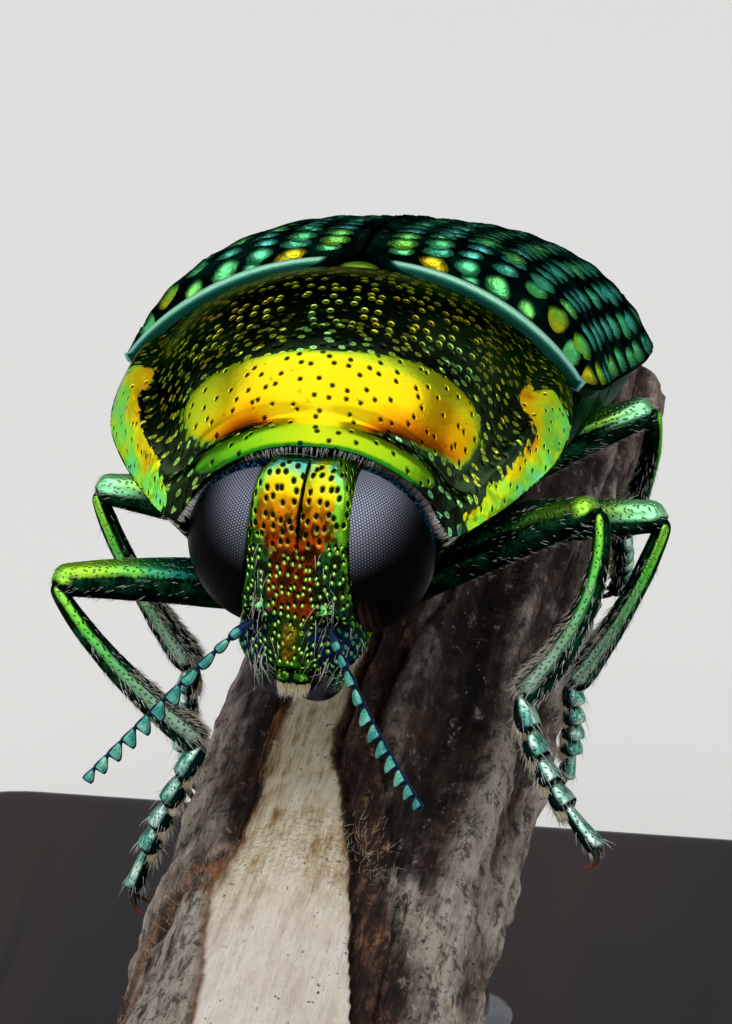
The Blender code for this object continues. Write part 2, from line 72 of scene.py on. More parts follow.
ELYTRA_LENGTH, PRONOTUM_LENGTH, HALF_WIDTH, SHELL, WAIST, GAP = 17.6, 5.4, 5.05, 0.5, 6.6, 0.06
HIND_TOP = 0.426 * HALF_WIDTH
HIND_PITCH, BODY_PITCH = math.radians(9.5), math.radians(8)
HEAD_PIVOT = np.array((0, -5.0, -2.0))
EYE_CENTRE, EYE_RADII = np.array((0.72, -5.5, -2.02)), np.array((1.76, 1.22, 1.68))
FRONS, FRONS_TAPER = 0.97, 0.07
BASE, BASE_CORNER = (32.0, 46.0, 4.0), 4.0
ROD_RADIUS, ROD_PLACES = 0.75, (-10.0, 12.0)
PERCH_RADIUS, PERCH_LENGTH, PERCH_AXIS = 3.15, 39.5, 17.15

ELYTRA_WIDTH = ((0, 0.891), (0.04, 0.935), (0.12, 0.96), (0.3, 0.95), (0.55, 1), (0.7, 0.94), (0.82, 0.775),
                (0.92, 0.535), (0.97, 0.385), (1, 0.27))
ELYTRA_RISE = ((0, 0.426), (0.05, 0.5), (0.12, 0.57), (0.22, 0.605), (0.35, 0.6), (0.5, 0.56),
               (0.65, 0.485), (0.8, 0.37), (0.92, 0.23), (1, 0.11))
MARGIN_LEVEL = ((0, 0), (0.1, -0.05), (0.3, -0.09), (0.6, -0.08), (0.85, -0.04), (1, -0.02))
VENTER_DEPTH = ((0, 0.67), (0.15, 0.68), (0.35, 0.61), (0.55, 0.48), (0.8, 0.28), (0.95, 0.14), (1, 0.08))
PRONOTUM_WIDTH = ((0, 0.875), (0.15, 0.9), (0.35, 0.908), (0.55, 0.865), (0.75, 0.765), (0.9, 0.655),
                  (1, 0.57))
PRONOTUM_TOP = ((0, 0.426), (0.25, 0.455), (0.45, 0.42), (0.65, 0.32), (0.8, 0.2), (0.9, 0.085), (1, -0.012))
PRONOTUM_MARGIN = ((0, 0), (0.2, -0.06), (0.35, -0.115), (0.5, -0.165), (0.7, -0.23), (0.85, -0.285),
                   (1, -0.335))
PRONOTUM_BOTTOM = ((0, -0.67), (0.5, -0.71), (1, -0.79))
HEAD_RINGS = ((-0.12, 0.66, -5.95, -5.05), (-0.35, 0.85, -6.22, -4.75), (-0.9, 0.92, -6.5, -4.45),
              (-1.9, 1.01, -6.7, -4.35), (-2.8, 1.06, -6.78, -4.45), (-3.3, 1.18, -6.8, -4.6),
              (-3.7, 1.26, -6.82, -4.9), (-4.1, 1.1, -6.78, -5.2), (-4.4, 0.8, -6.66, -5.5))
LEGS = {
    "left_front": ((1.0, -3.2, -3.75), (5.5, -4.4, -1.25), (4.25, -6.2, -4.65), (5.9, -7.4, -7.1)),
    "left_middle": ((1.3, 1.4, -3.95), (6.3, 1.1, -3.05), (4.5, 0.4, -6.55), (4.5, 0.2, -8.4)),
    "left_hind": ((1.5, 5.4, -4.2), (5.45, 6.7, -2.4), (4.5, 9.6, -6.1), (4.3, 11.7, -8.0)),
    "right_front": ((-1.0, -3.2, -3.75), (-5.4, -4.0, -3.6), (-2.1, -5.2, -6.4), (-3.35, -5.8, -9.2)),
    "right_middle": ((-1.3, 1.4, -3.95), (-5.6, 1.7, -3.4), (-3.35, 1.0, -6.9), (-3.45, 0.7, -9.2)),
    "right_hind": ((-1.5, 5.4, -4.2), (-4.9, 6.9, -3.0), (-3.75, 9.8, -6.2), (-3.5, 11.9, -7.9)),
}
SHIN_BOW = {"left_front": 0.5, "right_front": 0.32}
FOOT_BOW = {"left_front": -0.5}
ANTENNAE = {
    "left": ((0.83, -6.97, -3.2), (1.85, -8.0, -4.6), (3.31, -9.1, -5.85)),
    "right": ((-0.7, -6.97, -3.2), (-1.09, -7.27, -3.36), (-3.51, -8.9, -6.1)),
}

# ---------------------------------------------------------------- frames


def placement(shift, turn):
    """A frame, shifted and turned."""
    return Matrix.Translation(Vector(shift)) @ Euler(turn).to_matrix().to_4x4()


BODY = placement((-0.45, -1.2, PERCH_AXIS + 9.5), (-BODY_PITCH, 0, 0))
HIND = BODY @ placement((0, -HIND_TOP * math.sin(HIND_PITCH), HIND_TOP * (1 - math.cos(HIND_PITCH))),
                        (-HIND_PITCH, 0, 0))
FACE = (BODY @ placement(HEAD_PIVOT + (0.07, 0, 0), (0, math.radians(-0.5), math.radians(-8)))
        @ Matrix.Translation(-Vector(HEAD_PIVOT)))
WORLD = Matrix.Identity(4)


def moved(points, frame):
    """Points in millimetres in a frame, as metres in the whole object's frame."""
    full = np.array(frame)
    return (points @ full[:3, :3].T + full[:3, 3]) * MM


# ---------------------------------------------------------------- numbers


def curve(stations, place):
    """The value at place (a number or an array) of a smooth curve through (place, value) stations."""
    xs, ys = np.array(stations, float).T
    before, after = np.r_[0, 0:len(xs) - 1], np.r_[1:len(xs), len(xs) - 1]
    slopes = (ys[after] - ys[before]) / (xs[after] - xs[before])
    place = np.clip(place, xs[0], xs[-1])
    i = np.clip(np.searchsorted(xs, place, side="right") - 1, 0, len(xs) - 2)
    run = xs[i + 1] - xs[i]
    t = (place - xs[i]) / run
    return ((2 * t**3 - 3 * t**2 + 1) * ys[i] + (t**3 - 2 * t**2 + t) * run * slopes[i]
            + (3 * t**2 - 2 * t**3) * ys[i + 1] + (t**3 - t**2) * run * slopes[i + 1])


def step(low, high, value):
    """0 up to low and 1 from high on, with a smooth rise between them. It falls where low is the greater."""
    t = np.clip((value - low) / (high - low), 0, 1)
    return t * t * (3 - 2 * t)


def bell(value, middle, width):
    """1 at middle, falling smoothly to 0.37 at width from it, and soon to nothing."""
    return np.exp(-(((value - middle) / width) ** 2))


def chance(i, j=0, seed=0.0):
    """A fixed random number from 0 to 1 for each pair of whole numbers."""
    return np.modf(np.abs(np.sin(i * 12.9898 + j * 78.233 + seed * 37.719) * 43758.5453))[0]


def cloud(shape, long, wide, seed, power=1.4):
    """Smooth random heights over a grid, with a spread of 1, in waves some long rows by wide columns."""
    rng = np.random.default_rng(seed)
    down = np.fft.fftfreq(shape[0])[:, None] * long
    over = np.fft.fftfreq(shape[1])[None, :] * wide
    weight = 1 / (1 + 40 * (down**2 + over**2)) ** power
    weight[0, 0] = 0
    made = np.fft.ifft2(np.fft.fft2(rng.standard_normal(shape)) * weight).real
    return made / made.std()


def turns(count):
    """Evenly spaced angles of a full turn."""
    return 2 * np.pi * np.arange(count) / count


def unit(vectors):
    """Vectors along the last axis, one long."""
    return vectors / np.maximum(np.linalg.norm(vectors, axis=-1, keepdims=True), 1e-12)


def arch(across, full=0.0):
    """The height over each place across the body of a shell one high and one wide to each side."""
    return np.maximum(0, 1 - np.abs(across) ** (2.1 + 0.9 * full)) ** (0.86 - 0.2 * full)


def fullness(place):
    """How boxy the wing cases' arch is at each place along them."""
    return np.minimum(1.0, place / 0.06) * (1 - 0.6 * np.maximum(0.0, place - 0.3))


def bent(start, bend, end, share):
    """Points of the quadratic curve from start to end that leans towards bend."""
    start, bend, end = (np.array(point, float) for point in (start, bend, end))
    share = np.asarray(share)[..., None]
    return (1 - share) ** 2 * start + 2 * share * (1 - share) * bend + share**2 * end


def evenly(path, share):
    """Points at shares of a path's length. path is a function of 0 to 1."""
    dense = path(np.linspace(0, 1, 400))
    length = np.r_[0, np.cumsum(np.linalg.norm(np.diff(dense, axis=0), axis=1))]
    at = np.clip(share, 0, 1) * length[-1]
    return np.stack([np.interp(at, length, dense[:, k]) for k in range(3)], axis=1)


# ---------------------------------------------------------------- meshes


def grid_normals(grid):
    """Outward normals of a skin whose columns run round it."""
    along = np.gradient(grid, axis=0)
    around = np.roll(grid, -1, 1) - np.roll(grid, 1, 1)
    made = unit(np.cross(along, around))
    outward = grid - grid.mean(axis=1, keepdims=True)
    return made if (made * outward).sum() > 0 else -made


def pushed(grid, heights):
    """A skin with every point moved outwards by its height."""
    return grid + grid_normals(grid) * heights[..., None]


def unwrapped(grid, middle):
    """Distances over a skin: round it from column middle, and along it from its first row."""
    closed = np.concatenate([grid, grid[:, :1]], axis=1)
    around, along = (np.cumsum(np.linalg.norm(np.diff(closed, axis=axis, prepend=closed.take([0], axis)),
                                              axis=2), axis) for axis in (1, 0))
    return np.stack([around - around[:, middle:middle + 1], along], axis=2)


def make_mesh(name, points, quads, triangles, fields, maps):
    """A smooth mesh from arrays. Fields have a number per point and maps a pair per corner, quads first."""
    mesh = bpy.data.meshes.new(name)
    mesh.vertices.add(len(points))
    mesh.vertices.foreach_set("co", points.astype(np.float32).ravel())
    corners = np.concatenate([quads.ravel(), triangles.ravel()])
    mesh.loops.add(len(corners))
    mesh.loops.foreach_set("vertex_index", corners.astype(np.int32))
    sizes = np.r_[np.full(len(quads), 4), np.full(len(triangles), 3)]
    mesh.polygons.add(len(sizes))
    mesh.polygons.foreach_set("loop_start", np.r_[0, np.cumsum(sizes)[:-1]].astype(np.int32))
    mesh.update(calc_edges=True)
    for key, values in fields.items():
        mesh.attributes.new(key, "FLOAT", "POINT").data.foreach_set("value", values.astype(np.float32))
    for key, values in maps.items():
        layer = mesh.uv_layers.new(name=key)
        layer.uv.foreach_set("vector", values.astype(np.float32).ravel())
    mesh.shade_smooth()
    return mesh


def skin(grid, frame, middle=0, chart=None, **fields):
    """A skin over a grid (rows, columns, 3), closed round its columns and at both ends, as arrays.

    Its map is the distances over the skin from column middle, or else chart, which has a pair per point.
    A field may be one number, or a number per row, column or point.
    """
    rows, columns = grid.shape[:2]
    index = np.arange(rows * columns).reshape(rows, columns)
    nxt = np.roll(index, -1, 1)
    quads = np.stack([index[:-1], nxt[:-1], nxt[1:], index[1:]], axis=2).reshape(-1, 4)
    ends = rows * columns + np.array((0, 1))
    first = np.stack([np.full(columns, ends[0]), nxt[0], index[0]], axis=1)
    last = np.stack([np.full(columns, ends[1]), index[-1], nxt[-1]], axis=1)
    triangles = np.concatenate([first, last])
    points = np.concatenate([grid.reshape(-1, 3), grid[0].mean(0)[None], grid[-1].mean(0)[None]])
    uv = unwrapped(grid, middle) if chart is None else np.concatenate([chart, chart[:, :1]], axis=1)
    j = np.arange(columns)[None, :].repeat(rows - 1, 0)
    i = np.arange(rows - 1)[:, None].repeat(columns, 1)
    quad_uv = np.stack([uv[i, j], uv[i, j + 1], uv[i + 1, j + 1], uv[i + 1, j]], axis=2).reshape(-1, 2)
    j = np.arange(columns)
    first_uv = np.stack([uv[0].mean(0)[None].repeat(columns, 0), uv[0, j + 1], uv[0, j]], axis=1)
    last_uv = np.stack([uv[-1].mean(0)[None].repeat(columns, 0), uv[-1, j], uv[-1, j + 1]], axis=1)
    fields = {key: np.broadcast_to(values, (rows, columns)) for key, values in fields.items()}
    fields = {key: np.r_[field.ravel(), field[0].mean(), field[-1].mean()] for key, field in fields.items()}
    corners = points[quads[:, 0]], points[quads[:, 1]], points[quads[:, 2]]
    middle_point = points.mean(0)
    volume = np.einsum("ij,ij->", corners[0] - middle_point,
                       np.cross(corners[1] - middle_point, corners[2] - middle_point))
    corner_uv = np.concatenate([quad_uv, first_uv.reshape(-1, 2), last_uv.reshape(-1, 2)])
    if volume < 0:
        quads, triangles = quads[:, ::-1], triangles[:, ::-1]
        cut = len(quads) * 4
        corner_uv = np.concatenate([corner_uv[:cut].reshape(-1, 4, 2)[:, ::-1].reshape(-1, 2),
                                    corner_uv[cut:].reshape(-1, 3, 2)[:, ::-1].reshape(-1, 2)])
    return moved(points, frame), quads, triangles, fields, corner_uv


def joined(name, skins):
    """One mesh from several skins, with their map. The triangles' corners follow those of all the quads."""
    starts = np.cumsum([0] + [len(points) for points, *_ in skins])
    points = np.concatenate([one[0] for one in skins])
    quads = np.concatenate([one[1] + start for one, start in zip(skins, starts)])
    triangles = np.concatenate([one[2] + start for one, start in zip(skins, starts)])
    fields = {key: np.concatenate([one[3][key] for one in skins]) for key in skins[0][3]}
    uv = [one[4][:len(one[1]) * 4] for one in skins] + [one[4][len(one[1]) * 4:] for one in skins]
    return make_mesh(name, points, quads, triangles, fields, {"skin": np.concatenate(uv)})


def add_piece(name, made, look, slot, *nodes):
    """Links skins, or a finished mesh, as a piece that rides on the body and replaces the named solids."""
    mesh = made if isinstance(made, bpy.types.Mesh) else joined(name, made)
    piece = bpy.data.objects.new(name, mesh)
    mesh.materials.append(looks[look])
    bpy.context.scene.collection.objects.link(piece)
    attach(piece, "root")
    if nodes:
        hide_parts(*nodes)


def limb_rings(path, side, across_radius, up_radius, sides, shift=0.0):
    """Rings round a path, with their wide axis as near to side as the path allows, and their angles."""
    ahead = unit(np.gradient(path, axis=0))
    up = unit(np.cross(ahead, side))
    across = np.cross(up, ahead)
    angle = turns(sides)
    wide, tall, shift = (np.broadcast_to(size, (len(path),))[:, None, None]
                         for size in (across_radius, up_radius, shift))
    ring = across[:, None] * (shift + wide * np.cos(angle)[None, :, None])
    return path[:, None] + ring + up[:, None] * tall * np.sin(angle)[None, :, None], angle


def padded(values, fill, shape, after, before=0):
    """A field over a grid's rows, with rows of one number put in front of it and after it."""
    ends = [np.full((count, shape[1]), float(fill)) for count in (before, after)]
    return np.concatenate([ends[0], np.broadcast_to(values, shape), ends[1]])


# ---------------------------------------------------------------- hairs


def hair_mesh(name, roots, directions, lengths, radii, bends, root_uv):
    """Tapered three-sided hairs. bends is a vector per hair that its tip leans by."""
    count, segments, sides = len(roots), 5, 3
    share = np.linspace(0, 1, segments + 1)
    centre = (roots[:, None] + directions[:, None] * (lengths[:, None] * share)[..., None]
              + bends[:, None] * (share**2)[None, :, None])
    ahead = unit(np.gradient(centre, axis=1))
    spare = np.where(np.abs(ahead[..., 2:]) < 0.9, np.array((0, 0, 1.0)), np.array((1.0, 0, 0)))
    one = unit(np.cross(ahead, spare))
    two = np.cross(ahead, one)
    angle = turns(sides)
    taper = radii[:, None] * (1 - 0.93 * share**1.5)[None]
    round_it = one[:, :, None] * np.cos(angle)[:, None] + two[:, :, None] * np.sin(angle)[:, None]
    ring = centre[:, :, None] + taper[..., None, None] * round_it
    shape = (count, segments + 1, sides)
    index = np.arange(math.prod(shape)).reshape(shape)
    nxt = np.roll(index, -1, 2)
    quads = np.stack([index[:, :-1], index[:, 1:], nxt[:, 1:], nxt[:, :-1]], axis=3).reshape(-1, 4)
    ends = np.concatenate([index[:, -1, (0, 2, 1)], index[:, 0]])
    uv = np.broadcast_to(root_uv[:, None, None], (*shape, 2)).copy()
    uv[..., 0] += 0.0013 * np.cos(angle)
    uv[..., 1] += 0.003 * (share[None, :, None] - 0.5)
    corners = np.concatenate([quads.ravel(), ends.ravel()])
    fields = {"along": share[None, :, None], "tone": chance(np.arange(count), 3)[:, None, None]}
    fields = {key: np.broadcast_to(values, shape).ravel() for key, values in fields.items()}
    return make_mesh(name, ring.reshape(-1, 3) * MM, quads, ends, fields,
                     {"OFBake": uv.reshape(-1, 2)[corners]})


def hairs(patch, grid, mask, count, length, frame=BODY, lean=0.5, stray=0.25, radius=0.012, toward=(0, 0, 0),
          droop=(0, 0, -0.25), curl=0.2):
    """Hairs on a skin, as hair_mesh() takes them, with random roots where mask is high.

    patch is the corner and the side of their square of the map. The hairs lean along the skin from row to
    row, stray from that and point toward a side, and their tips droop and curl.
    """
    rows, columns = grid.shape[:2]
    over = np.roll(grid, -1, 1) - grid
    down = np.gradient(grid, axis=0)
    weight = (np.clip(mask, 0, None) * np.linalg.norm(over, axis=2) * np.linalg.norm(down, axis=2)).ravel()
    chosen = RNG.choice(rows * columns, count, p=weight / weight.sum())
    i, j = chosen // columns, chosen % columns
    root = moved(grid[i, j] + over[i, j] * RNG.random((count, 1)), frame) / MM
    normal, run = (vectors[i, j] @ np.array(frame)[:3, :3].T for vectors in (grid_normals(grid), unit(down)))
    u = patch[0] + patch[2] * (0.01 + 0.98 * j / columns)
    v = patch[1] + patch[2] * (0.01 + 0.98 * i / rows)
    ahead = unit(normal + run * lean + stray * RNG.standard_normal((count, 3)) + np.array(toward))
    low, high = length
    length = low + (high - low) * RNG.random(count) ** 1.3
    thick = radius * (0.75 + 0.5 * RNG.random(count))
    bend = length[:, None] * (np.array(droop) + run * curl + 0.12 * RNG.standard_normal((count, 3)))
    return root - normal * 0.02, ahead, length, thick, bend, np.stack([u, v], 1)


def coat(name, look, *groups):
    """One piece of hairs from several groups, each given its own square of the map."""
    side = math.ceil(math.sqrt(len(groups)))
    made = [hairs((k % side / side, k // side / side, 1 / side), **group) for k, group in enumerate(groups)]
    parts = [np.concatenate(column) for column in zip(*made)]
    add_piece(name, hair_mesh(name, *parts), look, None)


# ---------------------------------------------------------------- shader graphs


def rgb(colour, share=1.0):
    """A linear colour, times share. It may be given as #rrggbb, as a grey level or as linear numbers."""
    if isinstance(colour, str):
        parts = [int(colour[k:k + 2], 16) / 255 for k in (1, 3, 5)]
        colour = [part / 12.92 if part <= 0.04045 else ((part + 0.055) / 1.055) ** 2.4 for part in parts]
    elif not isinstance(colour, tuple):
        colour = (colour,) * 3
    return tuple(share * part for part in colour)


class Value:
    """An output of a material's node. Arithmetic with values adds the nodes that do it."""

    def __init__(self, graph, socket):
        self.graph, self.socket = graph, socket

    def __add__(self, other):
        return self.graph.math("ADD", self, other)

    def __radd__(self, other):
        return self.graph.math("ADD", other, self)

    def __sub__(self, other):
        return self.graph.math("SUBTRACT", self, other)

    def __rsub__(self, other):
        return self.graph.math("SUBTRACT", other, self)

    def __mul__(self, other):
        return self.graph.math("MULTIPLY", self, other)

    def __abs__(self):
        return self.graph.math("ABSOLUTE", self)


class Graph:
    """Builds a material. Its methods take numbers, colours and values, and most of them return a value."""

    def __init__(self, name, **settings):
        self.material = bpy.data.materials.new(name)
        self.material.use_nodes = True
        self.tree = self.material.node_tree
        self.shader = self.tree.nodes["Principled BSDF"]
        self.colour = self.surface = None
        self.set(self.shader, settings)

    def set(self, node, inputs):
        for key, value in inputs.items():
            socket = node.inputs[key if isinstance(key, int) else key.replace("_", " ")]
            if isinstance(value, Value):
                self.tree.links.new(value.socket, socket)
            elif socket.type == "RGBA":
                socket.default_value = (*rgb(value), 1)
            else:
                socket.default_value = value

    def node(self, kind, output, inputs=None, **settings):
        """Adds a node and returns one of its outputs."""
        made = self.tree.nodes.new("ShaderNode" + kind)
        for key, value in settings.items():
            setattr(made, key, value)
        self.set(made, inputs or {})
        return Value(self, made.outputs[output])

    def math(self, operation, *values):
        return self.node("Math", 0, dict(enumerate(values)), operation=operation)

    def field(self, name):
        """A number that the mesh carries at each point."""
        return self.node("Attribute", "Fac", attribute_name=name)

    def fields(self, *names):
        return [self.field(name) for name in names]

    def uv(self, scale=(1, 1, 1), shift=(0, 0, 0)):
        """The skin's map, in millimetres unless its chart says otherwise."""
        mapped = self.node("UVMap", 0, uv_map="skin")
        return self.node("Mapping", 0, {"Vector": mapped, "Scale": scale, "Location": shift})

    def axis(self, vector, index):
        """One of a vector's three numbers."""
        return self.node("SeparateXYZ", index, {0: vector})

    def place(self):
        """The place in the whole object's frame, in metres."""
        return self.node("TexCoord", "Object")

    def noise(self, scale, detail=3.0, rough=0.55, stretch=None):
        vector = self.place()
        if stretch:
            vector = self.node("Mapping", 0, {"Vector": vector, "Scale": stretch})
        inputs = {"Vector": vector, "Scale": scale, "Detail": detail, "Roughness": rough}
        return self.node("TexNoise", 0, inputs)

    def cells(self, scale, vector=None, spread=0.8, output="Distance"):
        """The distance on the map to the nearest of many scattered spots, or that spot's random colour."""
        inputs = {"Vector": vector or self.uv(), "Scale": scale, "Randomness": spread}
        return self.node("TexVoronoi", output, inputs, voronoi_dimensions="2D")

    def step(self, value, low, high):
        """As the function step() does."""
        inputs = {"Value": value, "From Min": low, "From Max": high}
        return self.node("MapRange", 0, inputs, interpolation_type="SMOOTHSTEP")

    def ramp(self, value, *stops):
        """A colour for each value. A stop is a place and a colour, and may have a share for the colour."""
        made = self.node("ValToRGB", 0, {"Fac": value})
        elements = made.socket.node.color_ramp.elements
        elements.remove(elements[1])
        for k, (position, *colour) in enumerate(stops):
            element = elements.new(position) if k else elements[0]
            element.position, element.color = position, (*rgb(*colour), 1)
        return made

    def mix(self, share, first, second):
        """The first colour, with a share of the second."""
        return self.node("Mix", 2, {0: share, 6: first, 7: second}, data_type="RGBA")

    def paint(self, share, colour):
        """Lays a colour over the one so far."""
        self.colour = self.mix(share, self.colour, colour)

    def relief(self, height, distance, strength):
        """Adds relief that is distance millimetres high to the surface."""
        if isinstance(distance, Value):
            height, distance = height * distance, 1.0
        inputs = {"Height": height, "Distance": distance * MM, "Strength": strength}
        if self.surface:
            inputs["Normal"] = self.surface
        self.surface = self.node("Bump", 0, inputs)

    def done(self, **inputs):
        """The material, with its colour and surface so far."""
        if self.surface:
            inputs["Normal"] = self.surface
        self.set(self.shader, {"Base_Color": self.colour, **inputs})
        return self.material


# ---------------------------------------------------------------- finishes


def elytra_finish():
    """Teal-black, with pits whose turquoise, green and yellow-green is partly painted glint, and a paler
    smooth basal rim with a painted highlight along its crest.
    """
    g = Graph("elytra", Specular_IOR_Level=0.0, Specular_Tint=(0.06, 0.2, 0.17))
    pit, tone, rim, back, outward = g.fields("pit", "tone", "rim", "back", "outward")
    ground = g.mix(g.step(g.noise(900, 4), 0.42, 0.7), "#010606", "#052019")
    # The pits' turquoise to yellow is partly their own colour and partly a painted glint; towards the back
    # it is a duller teal.
    glow = g.ramp(tone + (g.noise(2200, 2) - 0.5) * 0.25, (0.0, "#5cc4c0"), (0.3, "#5fe0b4"),
                  (0.5, "#66e08a"), (0.68, "#8ee650"), (0.85, "#d2ee38"), (1.0, "#ffc824"))
    glow = g.mix(g.step(back, 0.12, 0.55) * 0.5, glow, "#46b08c")
    g.colour = g.mix(pit, ground, glow)
    rim_colour = g.mix(g.step(outward, 0.62, 0.95), "#8fd6b4", "#6cbcbc")
    # Painted highlight in pale mint along the rim's crest, and painted shade at its edges.
    rim_colour = g.mix(g.step(rim, 0.95, 0.5), g.mix(g.noise(1500, 2), rim_colour, "#b4e6cc"), "#1c5a4a")
    g.paint(g.step(rim, 0.2, 0.45), rim_colour)
    g.relief(g.step(g.cells(9.0, spread=1.0), 0.1, 0.35), 0.01, 0.5)
    g.relief(g.noise(5200, 2), 0.004, 0.4)
    rough = 0.2 + g.noise(900, 2) * 0.14
    return g.done(Roughness=rough + rim * 0.28,
                  Metallic=g.step(g.math("MAXIMUM", pit, rim), 0.02, 0.5)
                  * (1.0 - g.step(outward, 0.4, 0.8) * 0.35))


def pronotum_finish():
    """The overhead light's reflection painted as a gold band over a disc painted green-black as its dark
    reflection, with glints painted in its pits, a yellow-green collar and gilded side rims.
    """
    g = Graph("pronotum", Metallic=1.0, Roughness=0.2, Specular_Tint=(0.3, 0.36, 0.14))
    reflection_band, rim, collar, heat = g.fields("reflection_band", "rim", "collar", "warmth")
    place, across, inside = g.fields("place", "across", "inside")
    pits = g.cells(3.0, spread=0.9)
    dots, chosen = (g.cells(3.9, spread=0.82, output=output) for output in ("Distance", "Color"))
    specks = g.cells(4.6, g.uv((0.62, 1.0, 1.0)), 0.85)
    drift, fleck = g.noise(420, 4), g.noise(3800, 3)
    kept = g.step(g.node("SeparateColor", 0, {0: chosen}), 0.3, 0.38)
    dot = g.step(dots, 0.34, 0.24) * kept
    # The overhead light's reflection is painted as a gold band. Dots of it join up into the band at its
    # edges.
    reflection_share = g.step(reflection_band + dot * 0.3, 0.4, 0.64)
    warm = heat + ((drift - 0.5) * 0.55 + (fleck - 0.5) * 0.1)
    gold_reflection = g.ramp(warm, (0.0, "#d4ea2a", 0.74), (0.16, "#f4ee22", 0.74), (0.36, "#ffdc12", 0.74),
                  (0.52, "#fdb80c", 0.72), (0.68, "#f08c08", 0.68), (0.84, "#b85a06", 0.6),
                  (1.0, "#5c2a04", 0.6))
    gold_reflection = g.mix(g.step(reflection_band, 0.9, 0.4), gold_reflection, rgb("#a8e024", 0.62))
    reflection_share = reflection_share * g.step(warm, 1.2, 0.98)
    # Away from the band the disc is painted dark green-black, as its reflection of the dark surroundings.
    dark = g.mix(g.step(drift, 0.42, 0.68), "#141d12", "#32462b")
    # Painted glints in the pits: ringed ones on the disc's top give way to small pearly dots down its sides.
    aside = g.math("MAXIMUM", g.step(abs(across), 0.55, 0.72), g.step(place, 0.5, 0.66))
    ring = g.step(dots, 0.34, 0.25) * (g.step(dots, 0.08, 0.17) * kept)
    pearl = g.step(specks, 0.25, 0.17) * g.step(specks, 0.02, 0.09)
    ring = g.mix(aside, ring, pearl)
    ring = ring * g.step(inside, 0.5, 0.0)
    glint_colour = g.ramp(g.noise(520, 2) * 0.9 + place * 0.35, (0.3, "#a8823e", 0.85),
                        (0.45, "#c8b43a", 0.85), (0.6, "#d6e03c", 0.85), (0.76, "#b0ec6a", 0.9),
                        (0.95, "#86eab0", 0.9))
    dark = g.mix(ring, dark, glint_colour)
    # The painted glints at the outermost edge are mint.
    dark = g.mix(g.step(abs(across), 0.97, 0.995) * pearl, dark, "#2f9a80")
    g.colour = g.mix(reflection_share, dark, gold_reflection)
    # The rims run from mint at the outer edge through lime and yellow to orange at the upper inner edge.
    inwards = g.step(g.field("inward"), 0.3, 0.95) * g.step(place, 1.15, 0.5)
    tint = g.noise(1900, 3) * 0.85 + (inwards * 0.4 - 0.03)
    rim_colour = g.ramp(tint, (0.24, "#7cf8a8"), (0.37, "#8cfc58"), (0.5, "#c6fc28"), (0.62, "#fff610"),
                        (0.76, "#ffd60a"), (0.92, "#ff9a06"))
    gilt_rim = g.step(rim + (dot * 0.3 + (fleck - 0.5) * 0.5), 0.42, 0.6)
    g.paint(gilt_rim, rim_colour)
    collar_colour = g.ramp(across * 0.6 + 0.5, (0.0, "#3fae2c", 0.6), (0.25, "#8fe01e", 0.62),
                           (0.5, "#d8ea1c", 0.66), (0.75, "#b0e01c", 0.62), (1.0, "#6ec024", 0.6))
    collar_colour = g.mix(g.step(place + fleck * 0.01, 0.99, 1.0), collar_colour, rgb("#2a8a1e", 0.6))
    gilt_collar = g.step(collar, 0.4, 0.62)
    g.paint(gilt_collar, collar_colour)
    bright = g.math("MAXIMUM", reflection_share, g.math("MAXIMUM", gilt_rim, gilt_collar))
    # Painted shade: the pits are dark where the surface round them is painted bright.
    hole = g.step(pits, 0.125, 0.075) * bright
    g.paint(hole, "#0d1a05")
    g.paint(g.step(fleck, 0.66, 0.72) * 0.4, "#3a2c08")
    g.paint(inside, g.mix(g.step(fleck, 0.45, 0.6), "#030a14", "#0c2a44"))
    height = g.step(pits, 0.06, 0.2) * bright + g.step(dots, 0.05, 0.3) * (1.0 - bright)
    g.relief(height, 0.03, 0.8)
    g.relief(fleck, 0.012, 0.5)
    g.relief(g.noise(1900, 3), rim * 0.025, 0.8)
    return g.done(Roughness=0.2 + drift * 0.12, Metallic=1.0 - gilt_rim * 0.35)


